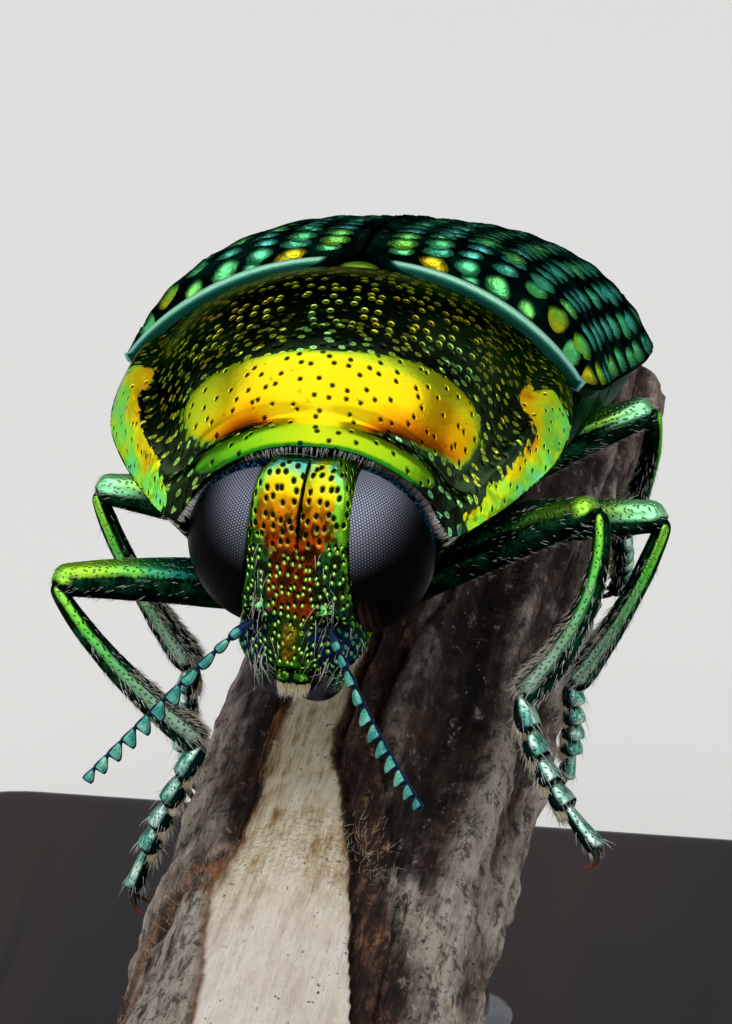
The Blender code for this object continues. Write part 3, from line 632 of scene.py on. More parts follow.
def head_finish():
    """Turquoise crown, yellow to orange and red-brown frons, green flanks and mouth, all finely pitted, with
    painted shade in the pits and painted highlights and glints at their lower edges.
    """
    g = Graph("head", Metallic=1.0, Roughness=0.22, Specular_Tint=(0.5, 0.6, 0.2))
    level, across, groove, socket = g.fields("level", "across", "groove", "socket")
    plate, ridge = g.field("plate"), g.field("ridge")
    wide_pits = g.cells(4.3, g.uv((1.25, 0.88, 1)), 0.7)
    wide_below = g.cells(4.3, g.uv((1.25, 0.88, 1), (0.012, -0.042, 0)), 0.7)
    close_pits = g.cells(5.6, g.uv((1.2, 0.9, 1)), 0.75)
    close_below = g.cells(5.6, g.uv((1.2, 0.9, 1), (0.009, -0.034, 0)), 0.75)
    drift, middling, fine = g.noise(520, 3), g.noise(1500, 3), g.noise(4200, 3)
    sway = (drift - 0.5) * 0.2 + (middling - 0.5) * 0.14
    mottled = level + sway
    centre = g.ramp(mottled, (0.0, "#0c3f50"), (0.035, "#5cc4a0", 0.85), (0.08, "#c8e028", 0.8),
                    (0.13, "#f7cf0e", 0.8), (0.19, "#ee9a0a", 0.8), (0.27, "#c9640a", 0.8),
                    (0.33, "#9a4a08", 0.8), (0.385, "#d2480a", 0.85), (0.43, "#4a2208"), (0.48, "#8a320c"),
                    (0.58, "#9a3c0e"), (0.65, "#8a340c"), (0.7, "#263a10"), (0.8, "#1c3a12"),
                    (0.9, "#24400f"), (0.95, "#2c7a1c"))
    flank = g.ramp(mottled, (0.0, "#145a6a"), (0.05, "#5cd4aa"), (0.13, "#98dc3a"), (0.3, "#62c02a"),
                   (0.42, "#1f6a2c"), (0.56, "#0f4a2c"), (0.7, "#0b323a"), (0.8, "#08204c"),
                   (0.94, "#0a2440"), (1.0, "#0a2c20"))
    side = abs(across) + ((middling - 0.5) * 0.7 + (fine - 0.5) * 0.35)
    widest = g.ramp(level, (0.0, 0.72), (0.2, 0.78), (0.42, 0.54), (0.62, 0.36), (0.8, 0.3))
    green = g.step(side - widest, -0.06, 0.06)
    g.colour = g.mix(green, centre, flank)
    lower = g.step(level + green * 0.06, 0.36, 0.44)
    pits, below = g.mix(lower, wide_pits, close_pits), g.mix(lower, wide_below, close_below)
    # Brown patches run down between the pits in the middle of the face.
    streaks = g.noise(4600, 4, stretch=(1.3, 1.0, 0.6))
    burnt = g.step(streaks, 0.46, 0.56) * (g.step(level, 0.14, 0.26) * g.step(level, 0.72, 0.62))
    g.paint(burnt * 0.85, "#241004")
    # Between the pits the lower face is a dark net.
    net = g.step(pits, 0.34, 0.5) * (g.step(level, 0.2, 0.45) * g.step(fine, 0.36, 0.6))
    g.paint(net * 0.62, "#1c0d04")
    g.paint(green * net * 0.6, "#04140c")
    # The yellow-green lines along the eyes.
    line = g.step(abs(across), 0.84, 0.93) * g.step(level, 0.66, 0.4)
    g.paint(line * g.step(fine, 0.62, 0.4), "#86d82a")
    # Painted highlight on each pit's lower rim, and painted shade in the pits; the glints below are painted
    # too.
    lip = g.step(below, 0.34, 0.26) * g.step(pits, 0.18, 0.26)
    g.paint(lip * 0.3, g.mix(lower, "#f6e65a", "#8ee838"))
    hole = g.step(pits, 0.25, 0.18)
    g.paint(hole, "#06180a")
    glint = g.step(below, 0.19, 0.1) * lower
    cold = g.step(level, 0.68, 0.78) * g.step(abs(across), 0.55, 0.8)
    g.paint(glint, g.mix(cold, g.mix(drift, "#7fe84a", "#f0f48a"), "#5fb4d8"))
    g.paint(plate * (g.step(fine, 0.62, 0.4) * 0.8), "#8f6e12")
    brow = g.step(ridge + (fine - 0.5) * 1.1, 0.36, 0.62)
    g.paint(brow, g.mix(g.step(middling, 0.4, 0.6), "#2fd49a", "#a4f458"))
    # Painted shade along the median groove and in the feelers' sockets.
    g.paint(g.step(groove, 0.12, 0.4), "#0a1a02")
    g.paint(socket, "#04080c")
    g.relief(g.step(pits, 0.12, 0.36), 0.045, 0.9)
    g.relief(middling, 0.03, 0.5)
    g.relief(fine, 0.012, 0.6)
    return g.done(Roughness=0.2 + drift * 0.12)


def eye_finish():
    """Black, with a lavender-grey sheen on the upper inner part, over a fine honeycomb of facets."""
    g = Graph("eye", Roughness=0.3, Specular_IOR_Level=0.02)
    sheen, low = g.field("sheen"), g.field("low")
    u, v = g.axis(g.uv(), 0), g.axis(g.uv(), 1)
    pitch = 2 * math.pi / 0.053
    angles = [math.radians(degrees) for degrees in (0, 60, 120)]
    waves = [g.math("COSINE", u * (math.cos(angle) * pitch) + v * (math.sin(angle) * pitch))
             for angle in angles]
    comb = waves[0] + (waves[1] + waves[2])
    facet = g.step(comb, -1.3, 2.2)
    cloudy = 0.75 + g.noise(300, 2) * 0.5
    light = g.mix(sheen * cloudy, "#010101", "#c4cce4")
    g.colour = g.mix(facet, g.mix(0.86, light, "#010102"), light)
    brown = g.mix(facet, "#120b08", "#5a4536")
    g.paint(low, brown)
    specks = g.cells(7.0, spread=0.9)
    navy = g.mix(g.step(specks, 0.22, 0.1), "#030a1c", "#2a7a96")
    g.paint(g.field("ring"), navy)
    g.relief(facet, 0.008, 0.4)
    return g.done()


def antenna_finish():
    """Navy-black, with a pale turquoise patch on each joint, partly its own turquoise and partly a painted
    highlight.
    """
    g = Graph("antenna", Metallic=0.8, Roughness=0.36)
    face, tone = g.field("face"), g.field("tone")
    drift = g.noise(900, 3)
    fine = g.noise(3600, 3)
    pale = g.ramp(drift * 0.5 + fine * 0.5, (0.34, "#1c6a70"), (0.48, "#479a88"), (0.6, "#78baa2"),
                  (0.72, "#b0dcc8"))
    patchy = face + (fine - 0.5) * 0.7
    g.colour = g.mix(g.step(patchy, 0.3, 0.7), "#0a2148", pale)
    g.paint(tone * 0.8, "#061222")
    dots = g.cells(14, spread=1.0)
    g.relief(g.step(dots, 0.1, 0.4), 0.012, 0.7)
    return g.done()


def leg_finish():
    """Green-black metal, with a painted yellow-green highlight along the ridge near the knees, teal feet
    with painted highlights on their tops, and red-brown claw tips.
    """
    g = Graph("leg", Metallic=0.95, Roughness=0.27, Specular_Tint=(0.2, 0.4, 0.2))
    top, along, part, glow, cool = g.fields("top", "along", "part", "glow", "cool")
    drift, fine = g.noise(420, 3), g.noise(3000, 3)
    dots = g.cells(8.5, spread=0.9)
    dark = g.mix(g.step(fine, 0.42, 0.66), "#03100a", "#0f3a22")
    shin = g.step(part, 0.4, 0.6)
    sway = along + (fine - 0.5) * 0.3
    bright = g.mix(shin, g.ramp(sway, (0.3, "#1c7a90", 0.8), (0.46, "#3cc4b0", 0.85),
                                (0.62, "#68d864", 0.85), (0.78, "#a8e83c", 0.85), (0.95, "#b4ee44", 0.9)),
                   g.ramp(sway, (0.0, "#a4ec4a", 0.85), (0.3, "#62d048", 0.8), (0.55, "#74c67c", 0.85),
                          (0.9, "#c2e8cc", 0.85)))
    # Painted highlight along the ridge that faces up and forwards, in greens and yellows.
    ridge = g.step(top + (fine - 0.5) * 0.35, g.mix(shin, 0.6, 0.76), g.mix(shin, 0.82, 0.94))
    where = g.mix(shin, g.step(along, 0.3, 0.62), g.ramp(along, (0.3, 1), (0.7, 0.4)))
    g.colour = g.mix(ridge * where * glow, dark, bright)
    # The knee's upper side gets a painted highlight, lime on the front legs and mint on the others.
    knee = g.step(along, g.mix(cool, 0.9, 0.7), 0.95) * g.step(shin, 0.5, 0.4)
    knee_colour = g.mix(cool, rgb("#a6f04a", 0.95), "#a2ffb8")
    g.paint(knee * g.step(top, 0.2, 0.5), knee_colour)
    # Painted highlight in pale teal on the tops of the foot joints.
    teal = g.mix(g.step(fine, 0.4, 0.65), "#5aa894", "#d2f2e2")
    foot = g.mix(g.step(top + drift * 0.4, 0.2, 0.8), "#0a2226", teal)
    foot = g.mix(g.step(along, 0.76, 0.9), foot, "#061416")
    g.paint(g.step(part, 1.4, 1.6), foot)
    g.paint(g.step(dots, 0.2, 0.12) * 0.6, "#03100a")
    claw = g.step(part, 2.4, 2.6)
    g.paint(claw, g.ramp(along, (0.2, "#0c1a1c"), (0.6, "#2c1210"), (1.0, "#7a3020")))
    g.relief(g.step(dots, 0.08, 0.3), 0.018, 0.7)
    g.relief(fine, 0.012, 0.5)
    return g.done(Roughness=0.22 + drift * 0.15, Metallic=0.95 - claw * 0.7)


def pad_finish():
    """The beige velvet of the lobes under the feet."""
    g = Graph("foot_lobe", Roughness=0.8, Sheen_Weight=0.3)
    g.colour = g.ramp(g.noise(3200, 3), (0.35, "#6d5f4a"), (0.55, "#a3937a"), (0.7, "#cabda4"))
    return g.done()


def venter_finish():
    """Green-black metal with a green gleam and scattered pits."""
    g = Graph("venter", Metallic=0.85, Roughness=0.34, Specular_IOR_Level=0.0,
              Specular_Tint=(0.1, 0.25, 0.15))
    drift = g.noise(350, 3)
    dots = g.cells(4.5, spread=0.9)
    g.colour = g.ramp(drift, (0.35, "#04140e"), (0.55, "#0e4a2a"), (0.75, "#2f8a3a"))
    g.paint(g.step(dots, 0.2, 0.12), "#020806")
    g.relief(g.step(dots, 0.08, 0.3), 0.03, 0.8)
    return g.done()


def mouth_finish():
    """Glossy black with a purple-grey sheen, red-brown at one edge."""
    g = Graph("mouth", Roughness=0.22, Specular_IOR_Level=0.22)
    along = g.field("along")
    drift = g.noise(600, 2)
    dots = g.cells(11, spread=0.9)
    g.colour = g.ramp(along + drift * 0.5, (0.3, "#061a12"), (0.5, "#050506"), (0.85, "#060508"),
                      (1.0, "#1a1624"))
    g.paint(g.step(dots, 0.3, 0.16) * g.step(along, 0.5, 0.3), "#58b070")
    g.paint(g.step(drift, 0.58, 0.64) * g.step(along, 0.45, 0.25), "#7a1408")
    g.relief(g.noise(900, 3), 0.012, 0.6)
    return g.done()


def lip_finish():
    """Two green-dotted patches on a dark lip."""
    g = Graph("lip", Metallic=1.0, Roughness=0.22)
    wide, high = abs(g.field("across")), g.field("high")
    patch = g.step(wide, 0.1, 0.2) * (g.step(wide, 0.8, 0.6) * g.step(high, -0.3, 0.1))
    dots = g.cells(9.0, spread=0.9)
    g.colour = g.mix(patch, "#06140a", g.mix(g.step(dots, 0.44, 0.2), "#1e5a1e", "#a4e438"))
    g.relief(g.step(dots, 0.1, 0.3), 0.02, 0.8)
    return g.done()


def hair_finish(name, root, tip):
    """Hairs that pass from one colour to another, some of them greyer."""
    g = Graph(name, Roughness=0.45, Specular_IOR_Level=0.5)
    along, tone = g.field("along"), g.field("tone")
    g.colour = g.mix(along, root, tip)
    g.paint(tone * 0.45, "#6f6757")
    return g.done()


def bark_finish():
    """Weathered dead wood: a pale bare strip, splits beside it darkened with painted shade, and grey-brown
    fibrous bark.
    """
    g = Graph("bark", Roughness=0.85, Specular_IOR_Level=0.25)
    bare, split, height = g.field("bare"), g.field("split"), g.field("height")
    rust, shade, frayed = g.field("rust"), g.field("dark"), g.field("pale")
    fibre = g.noise(5200, 6, stretch=(1.0, 0.07, 1.0), rough=0.75)
    coarse = g.noise(900, 4, stretch=(1.0, 0.2, 1.0))
    speck = g.noise(9000, 3, stretch=(1.0, 0.5, 1.0))
    worn = g.noise(2600, 4, stretch=(1.0, 0.5, 1.0), rough=0.65)
    rough_sum = fibre * 0.5 + (height * 0.28 + worn * 0.25)
    bark = g.ramp(rough_sum, (0.36, "#150d09"), (0.45, "#453529"), (0.53, "#74655a"), (0.6, "#9c8f83"),
                  (0.72, "#ccc0b2"))
    bark = g.mix(g.step(coarse, 0.48, 0.62) * 0.55, bark, "#54402f")
    wood = fibre * 0.65 + worn * 0.35
    umber = g.ramp(wood, (0.38, "#120906"), (0.5, "#3e261b"), (0.58, "#745340"), (0.68, "#b0967a"))
    bark = g.mix(shade, bark, umber)
    bark = g.mix(frayed * g.step(wood, 0.4, 0.54), bark, g.mix(coarse, "#a89a8a", "#e0d6c8"))
    pale = g.ramp((wood - 0.15) * 1.08 + coarse * 0.25, (0.36, "#7a5c3a"), (0.43, "#b49a72"),
                  (0.5, "#d8c7a6"), (0.58, "#ebdfc8"), (0.7, "#f6efe2"))
    # The strip is sugary with brown grains in the middle, and whiter towards the front end.
    run = g.axis(g.place(), 1)
    pale = g.mix(g.step(run, -0.0095, -0.0135) * 0.65, pale, "#f8ece4")
    grains = (g.step(g.noise(9000, 4, rough=0.7), 0.46, 0.66)
              * (g.step(run, -0.0072, -0.0084) * g.step(run, -0.0115, -0.0098)))
    pale = g.mix(grains * 0.55, pale, "#7a5230")
    pale = g.mix(g.step(bare, 1.0, 0.55), pale, "#8a6238")
    # Thin scales of bark lift off: painted shade in the gaps between them and painted highlights on their
    # edges.
    scales = g.noise(3600, 6, stretch=(1.0, 0.42, 1.0), rough=0.8)
    bark = g.mix(g.step(scales, 0.5, 0.4) * 0.8, bark, "#1b110b")
    bark = g.mix(g.step(scales, 0.57, 0.66) * 0.6, bark, g.mix(shade, "#d2c6ba", "#b58a5e"))
    g.colour = g.mix(bare, bark, pale)
    g.paint(rust * g.step(worn, 0.36, 0.5), g.mix(g.step(wood, 0.46, 0.58), "#2a150b", "#9c5c2e"))
    # Painted shade in the splits.
    g.paint(split * g.step(fibre, 0.66, 0.42), "#1c100a")
    g.paint(g.step(speck, 0.62, 0.7) * g.step(worn, 0.5, 0.6), "#2b1a10")
    g.relief(coarse, 0.25, 0.6)
    g.relief(fibre, 0.14, 1.0)
    g.relief(worn, 0.1, 0.7)
    g.relief(scales, (1.0 - bare) * 0.12, 0.8)
    return g.done()


def fibre_finish():
    """Loose fibres of dead wood."""
    g = Graph("wood_fibre", Roughness=0.7)
    g.colour = g.mix(g.field("along"), "#a98a63", "#ded0b6")
    g.paint(g.field("tone") * 0.5, "#6b4d31")
    return g.done()


def stand_finish():
    """Dark stained wood with a satin polish."""
    g = Graph("stand", Roughness=0.3, Coat_Weight=0.35, Coat_Roughness=0.12)
    grain = g.noise(120, 5, stretch=(1.0, 0.06, 1.0), rough=0.6)
    pores = g.noise(900, 2, stretch=(1.0, 0.03, 1.0))
    g.colour = g.ramp(grain, (0.35, "#120b08"), (0.5, "#26160e"), (0.65, "#3a2316"))
    g.paint(g.step(pores, 0.62, 0.72), "#0a0604")
    g.relief(pores, 0.01, 0.3)
    return g.done(Roughness=0.26 + grain * 0.12)


def rod_finish():
    """Brushed steel."""
    g = Graph("rod", Metallic=1.0, Roughness=0.3)
    brushed = g.noise(2200, 3, stretch=(1.0, 1.0, 0.04))
    g.colour = g.mix(brushed, (0.34, 0.34, 0.36), (0.62, 0.62, 0.65))
    g.relief(brushed, 0.004, 0.4)
    return g.done(Roughness=0.22 + brushed * 0.16)


# ---------------------------------------------------------------- wing cases and underside


def elytron(mirror):
    """One wing case, as a grid and its fields: pits in rows, a smooth rim at the base and raised edges."""
    rows, top_columns, under_columns = 430, 124, 18
    pit_rows, pit_start = 8.2, 0.35
    place = (1 - np.cos(np.pi * np.linspace(0.12, 1, rows))) / 2
    place = (place - place[0]) / (1 - place[0])
    share = np.r_[np.linspace(0, 1, top_columns), np.linspace(1, 0, under_columns + 2)[1:-1]][None]
    depth = np.r_[np.zeros(top_columns), np.full(under_columns, SHELL)][None]
    place = place[:, None]
    width, margin = curve(ELYTRA_WIDTH, place) * HALF_WIDTH, curve(MARGIN_LEVEL, place) * HALF_WIDTH
    rise = curve(ELYTRA_RISE, place) * HALF_WIDTH
    y = GAP + place * (ELYTRA_LENGTH - GAP)
    inner = np.maximum(GAP / 2, 0.62 * np.maximum(0, 1 - y / 0.75) + GAP)
    x = inner + (width - depth - inner) * (1 - (1 - share) ** 1.4)
    z = margin + (rise - depth) * arch(x / (width - depth), fullness(place))
    spine = 0.35 * np.abs(2 * share - 1) ** 3 * np.maximum(0, (place - 0.93) / 0.07)
    grid = np.stack([x * mirror, y + spine, z], axis=2)
    top = np.broadcast_to(depth == 0, x.shape)
    # Rows of pits: row numbers k run out from the suture, place numbers j run back along each row. How far
    # out a column lies is measured over the shell near its front.
    arc = np.cumsum(np.r_[0, np.linalg.norm(np.diff(grid[60, :top_columns], axis=0), axis=1)])
    outward = np.r_[arc / arc[-1], np.ones(under_columns)][None]
    row = outward * pit_rows - pit_start
    k = np.floor(row)
    longer = step(0.35, 0.7, (k + 0.5 + pit_start) / pit_rows)
    spacing = 0.66 + 0.42 * longer
    run = y / spacing + 0.5 * np.mod(k, 2) + 0.25 * chance(k, 1)
    j = np.floor(run)
    off_row = (row - k - 0.5 - 0.16 * (chance(k, j, 1) - 0.5)) * width / pit_rows * 1.28
    off_run = (run - j - 0.5 - 0.3 * (chance(k, j, 2) - 0.5)) * spacing
    size = (0.28 + 0.08 * chance(k, j, 3)) * (0.55 + 0.45 * width / HALF_WIDTH)
    distance = np.sqrt((off_row / 0.95) ** 2 + (off_run / (1.08 + 0.62 * longer)) ** 2) / size
    edges = (step(0.42, 0.62, y) * step(0.0, 0.06, outward) * step(1.0, 0.955, outward)
             * step(1.0, 0.96, place))
    inside = np.clip(1 - distance**2, 0, 1) * edges * top
    heights = -0.2 * inside**0.8
    heights += 0.1 * bell(y, 0.2, 0.12) * top - 0.07 * bell(y, 0.46, 0.09) * top
    heights += 0.05 * bell(outward, 0.015, 0.012) * top * step(0.5, 2.0, y)
    heights += 0.06 * bell(outward, 0.985, 0.02) * top - 0.03 * np.cos(2 * np.pi * row) * top * edges * 0.6
    tone = (0.05 + 0.56 * chance(k, j, 5) + 0.45 * step(2.4, 0.8, y) * chance(k, j, 6) ** 0.7
            + 0.42 * step(0.5, 0.85, outward) * step(4.0, 1.2, y) * chance(k, j, 8))
    grid = pushed(grid, heights)
    rim = bell(y, 0.19, 0.12) * top * step(0.0, 0.05, outward)
    return grid, dict(pit=step(0.08, 0.5, inside), tone=tone, rim=rim, back=place, outward=outward)


def scutellum():
    """The small shield between the wing cases, a smooth dome."""
    rows, columns = 24, 60
    angle = turns(columns)
    size = np.linspace(1.0, 0.02, rows)[:, None]
    x = 0.46 * size * np.cos(angle) * (1 - 0.35 * np.sin(angle).clip(0))
    y = 0.3 + size * np.where(np.sin(angle) > 0, 0.42, 0.22) * np.sin(angle)
    z = HIND_TOP - 0.16 + 0.2 * np.sqrt(np.clip(1 - size**2, 0, 1)) + 0 * angle
    base = np.stack([x[0], y[0], np.full(columns, HIND_TOP - 0.45)], axis=1)[None]
    return np.concatenate([base, np.stack([x, y, z], axis=2)])


def venter_grid(places, plates=False):
    """The body under the wing cases, from place to place, with hollows between the abdomen's plates."""
    inset = SHELL + 3 * GAP
    place = places[:, None]
    width = curve(ELYTRA_WIDTH, place) * HALF_WIDTH
    margin = curve(MARGIN_LEVEL, place) * HALF_WIDTH - 2 * GAP
    rise = np.maximum(curve(ELYTRA_RISE, place) * HALF_WIDTH - inset, 0.05)
    depth = curve(VENTER_DEPTH, place) * HALF_WIDTH
    count = 90
    across = np.cos(np.pi * np.linspace(0, 1, count))[None]
    top = margin + rise * arch(across, fullness(place))
    low = margin - GAP - depth * (1 - across**2) ** 0.7
    x = np.concatenate([across * np.maximum(width - inset, 0.4), -across * np.maximum(width - 0.3, 0.5)],
                       axis=1)
    z = np.concatenate([top, low], axis=1)
    grid = np.stack([x, np.broadcast_to(place * ELYTRA_LENGTH, x.shape), z], axis=2)
    under = np.r_[np.zeros(count), np.sin(np.pi * np.linspace(0, 1, count))][None]
    heights = 0.02 * cloud(x.shape, 14, 10, 4) * under
    if plates:
        ends = places[0] + (places[-1] - places[0]) * np.array((0.27, 0.47, 0.65, 0.82))
        for end in ends:
            heights -= 0.11 * under * bell(place, end, 0.006)
            heights += 0.05 * under * bell(place, end - 0.02, 0.014)
    else:
        heights -= 0.1 * under * (bell(place, 0.16, 0.006) + bell(place, 0.3, 0.006))
        heights -= 0.08 * under * bell(x / width, 0, 0.02)
    return pushed(grid, heights)


# ---------------------------------------------------------------- prothorax

# The column along the middle of the top, and the rows that the socket has.
PRONOTUM_MIDDLE, SOCKET_ROWS = 118, 38


def prothorax():
    """The prothorax and the socket in its front for the head, as a grid and its fields."""
    top_count, low_count = 2 * PRONOTUM_MIDDLE, 84
    place = np.r_[0, 0.004, np.linspace(0.012, 0.82, 96), np.linspace(0.825, 1.0, 62)][:, None]
    across = np.r_[np.cos(np.pi * np.linspace(0, 1, top_count)),
                   -np.cos(np.pi * np.linspace(0, 1, low_count + 2))[1:-1]]
    is_top = np.r_[np.ones(top_count), np.zeros(low_count)][None]
    across = across[None]
    width, margin = curve(PRONOTUM_WIDTH, place) * HALF_WIDTH, curve(PRONOTUM_MARGIN, place) * HALF_WIDTH
    crest, bottom = curve(PRONOTUM_TOP, place) * HALF_WIDTH, curve(PRONOTUM_BOTTOM, place) * HALF_WIDTH
    edge = np.abs(across)
    fade = np.sin(np.pi * place) ** 0.5
    lift = (0.1 * bell(edge, 0.93, 0.05) - 0.1 * bell(edge, 0.8, 0.07)) * fade
    z = np.where(is_top > 0, margin + (crest - margin) * (arch(across) + lift),
                 margin + (bottom - margin) * (1 - edge**1.25))
    x = across * width
    y = (-GAP - place * (PRONOTUM_LENGTH - GAP)
         - math.tan(HIND_PITCH) * np.maximum(0, 1 - place / 0.6) * (HIND_TOP - z))
    grid = np.stack([x, y, z], axis=2)
    wander = cloud(x.shape, 7, 9, 5)
    # How far a point is inside the band of painted reflection, across and along it.
    rear = 0.718 - 0.072 * step(0, 0.7, across) - 0.018 * step(-0.2, -0.7, across)
    fore = 0.92 + 0.055 * bell(across, 0.0, 0.2) - 0.02 * step(0.35, 0.65, across)
    long = (place - (rear + fore) / 2) / ((fore - rear) / 2)
    size = ((np.abs(across / (0.72 + 0.075 * (across > 0))) ** 6 + np.abs(long) ** 3) ** (1 / 3)
            + 0.02 * wander)
    reflection_band = step(1.16, 0.84, size) * is_top
    inner = (0.915 - 0.11 * step(0.6, 0.34, place) + 0.026 * step(0.55, 0.72, place)
             + 0.014 * cloud(x.shape, 5, 5, 17))
    inward = np.clip((1 - edge) / (1 - inner), 0, 1)
    rim = (step(inner - 0.03, inner + 0.03, edge) * step(0.27, 0.4, place + 0.25 * (edge - 0.78))
           * step(1.0, 0.93, place) * is_top)
    taper = step(0.86, 0.62, edge)
    collar = bell(place, 0.968, 0.018 + 0.026 * taper) * is_top * step(0.84, 0.66, edge)
    # How warm the painted reflection's tint is, from lime-yellow up to orange-brown.
    heat = (0.24 + 0.36 * step(0.81, 0.9, place) * step(0.22, 0.5, edge) + 0.22 * step(0.2, 0.7, across)
            + 0.75 * step(0.872, 0.93, place) * step(0.22, 0.42, edge) + 0.08 * step(0.76, 0.88, place)
            - 0.34 * step(-0.35, -0.7, across) - 0.3 * step(0.755, 0.71, place))
    swell = step(0.5, 0.75, place) * step(0.93, 0.84, place) * step(0.85, 0.45, edge)
    apart = 1 - 0.8 * bell(across, 0, 0.2)
    heights = is_top * (0.1 * swell + 0.09 * bell(place, 0.958, 0.035) * step(1.0, 0.9, edge) * apart
                        - 0.08 * bell(place, 0.9, 0.018) * step(0.95, 0.8, edge) * apart
                        - 0.05 * bell(place, 0.02, 0.015) + 0.01 * cloud(x.shape, 20, 16, 6)
                        + 0.02 * cloud(x.shape, 7, 6, 18) * rim)
    heights = np.where(place < 0.005, -0.05, heights)
    grid = pushed(grid, heights)
    # The socket: from the front edge inwards, the skin falls back round the eyes and the head.
    shrink = (1 - np.r_[0.006, 0.016, np.linspace(0.03, 0.105, 6),
                        np.linspace(0.12, 0.98, SOCKET_ROWS - 8)][:, None])
    centre = np.array((0, -2.0))
    ring = grid[-1][:, (0, 2)]
    flat = centre + (ring - centre)[None] * shrink[..., None]
    back = np.full(flat.shape[:2], -5.42)
    for x_middle, z_middle, radii in ((0, -2.05, (2.6, 1.38, 1.9)), (0.72, -2.02, (1.84, 1.3, 1.76)),
                                      (-0.72, -2.02, (1.84, 1.3, 1.76))):
        reach = 1 - ((flat[..., 0] - x_middle) / radii[0]) ** 2 - ((flat[..., 1] - z_middle) / radii[2]) ** 2
        back = np.maximum(back, -5.5 + radii[1] * np.sqrt(np.clip(reach, 0, 1)))
    back[:2] = np.minimum(back[:2], -5.42)
    socket = np.stack([flat[..., 0], back, flat[..., 1]], axis=2)
    grid = np.concatenate([grid, socket])
    # Each field with its value in the socket.
    marks = dict(reflection_band=(reflection_band, 0), rim=(rim, 0), collar=(collar, 0), place=(place, 1),
                 across=(across * is_top, 0), warmth=(heat, 0), inward=(inward, 0), inside=(0, 1))
    fields = {key: padded(*pair, x.shape, len(socket)) for key, pair in marks.items()}
    fields["collar"][len(x):len(x) + 2] = collar[-1]
    fields["inside"][len(x):len(x) + 6] = step(0.5, 0.3, edge)
    return grid, fields


# ---------------------------------------------------------------- head

# Columns of the head's back and of its face, and the one along the middle of the face.
NAPE_COLUMNS, FACE_COLUMNS = 80, 200
FACE_MIDDLE = NAPE_COLUMNS + FACE_COLUMNS // 2


def head_capsule():
    """The head: a flat, grooved face between the eyes, hollows for the feelers and a short muzzle."""
    rows = 240
    z = np.linspace(-0.24, -4.4, rows)[:, None]
    stations = np.array(HEAD_RINGS)
    down = -z - 0.12 * step(-1.2, -0.2, z)
    half, front, back = (curve(np.stack([-stations[:, 0], stations[:, k]], 1), down) for k in (1, 2, 3))
    boxy = step(-0.1, -0.4, z) * step(-3.7, -2.9, z)
    half = half + 0.05 * step(-0.3, -0.9, z) * step(-3.1, -2.7, z)
    x_power, y_power = 0.6 - 0.32 * boxy, 0.7 - 0.48 * boxy

    def ring(angle):
        """Points round each level. The face is broader towards the left eye."""
        turn = np.sin(angle)
        across = np.sign(np.cos(angle)) * np.abs(np.cos(angle)) ** x_power
        along = np.sign(turn) * np.abs(turn) ** np.where(turn < 0, y_power, 0.8)
        x = (half + 0.09 * boxy * (across > 0) * step(-0.3, -1.2, z)) * across
        return x, (front + back) / 2 + (back - front) / 2 * along

    angle = np.empty((rows, NAPE_COLUMNS + FACE_COLUMNS))
    share = np.linspace(0, 1, 450)
    quarter = share**4 / (share**4 + (1 - share) ** 4)
    for start, count, first in ((0, NAPE_COLUMNS, 0), (np.pi, FACE_COLUMNS, NAPE_COLUMNS)):
        dense = (start + np.pi / 2 * np.r_[quarter, 1 + quarter[1:]])[None]
        xs, ys = ring(dense)
        length = np.cumsum(np.hypot(np.diff(xs, axis=1, prepend=xs[:, :1]),
                                    np.diff(ys, axis=1, prepend=ys[:, :1])), axis=1)
        for row in range(rows):
            angle[row, first:first + count] = np.interp(length[row, -1] * np.arange(count) / count,
                                                        length[row], dense[0])
    x, y = ring(angle)
    across = x / half
    grid = np.stack([x, y, np.broadcast_to(z, x.shape)], axis=2)
    facing = step(-0.2, -0.7, np.sin(angle))
    mirrored = np.abs(x)
    lean = x - 0.012 * (z + 0.24) - 0.07
    groove = bell(lean, 0, 0.026) * step(-1.95, -1.4, z)
    pit = bell(mirrored, 0.78, 0.22) * bell(z, -3.26, 0.18)
    ridge_way = np.hypot(mirrored - 0.78, z + 3.28)
    ridge = bell(ridge_way, 0.34, 0.07) * step(-3.36, -3.1, z) * step(1.1, 0.9, mirrored)
    plate = step(0.36, 0.22, mirrored) * step(-3.3, -3.5, z) * step(-4.2, -4.12, z)
    heights = (facing * (-0.05 * groove - 0.03 * bell(lean, 0, 0.16) * step(-0.2, -0.5, z)
                         * step(-2.4, -1.5, z) - 0.17 * pit + 0.1 * ridge + 0.07 * plate
                         - 0.2 * step(-4.1, -4.17, z) * step(0.85, 0.6, mirrored)
                         + 0.025 * bell(mirrored, 0.45, 0.25) * step(-2.2, -1.2, z)
                         + 0.03 * bell(z, -2.45, 0.25) * bell(mirrored, 0, 0.5)))
    heights = heights + 0.01 * cloud(x.shape, 12, 12, 8)
    grid = pushed(grid, heights)
    level = (-0.12 - z) / 4.28
    slant = (mirrored - 0.66) + 0.5 * (z + 2.93)
    brow = bell(slant, 0.0, 0.06) * bell(z, -2.96, np.where(x > 0, 0.17, 0.11))
    stripe = step(0.17, 0.09, np.abs(x + 0.02)) * step(-3.2, -3.35, z) * step(-4.05, -3.9, z)
    fields = dict(level=level, across=across, groove=groove * facing, plate=stripe * facing,
                  ridge=np.clip(brow * facing * 1.3, 0, 1), socket=np.clip(pit * facing * 1.4, 0, 1))
    return grid, fields, facing


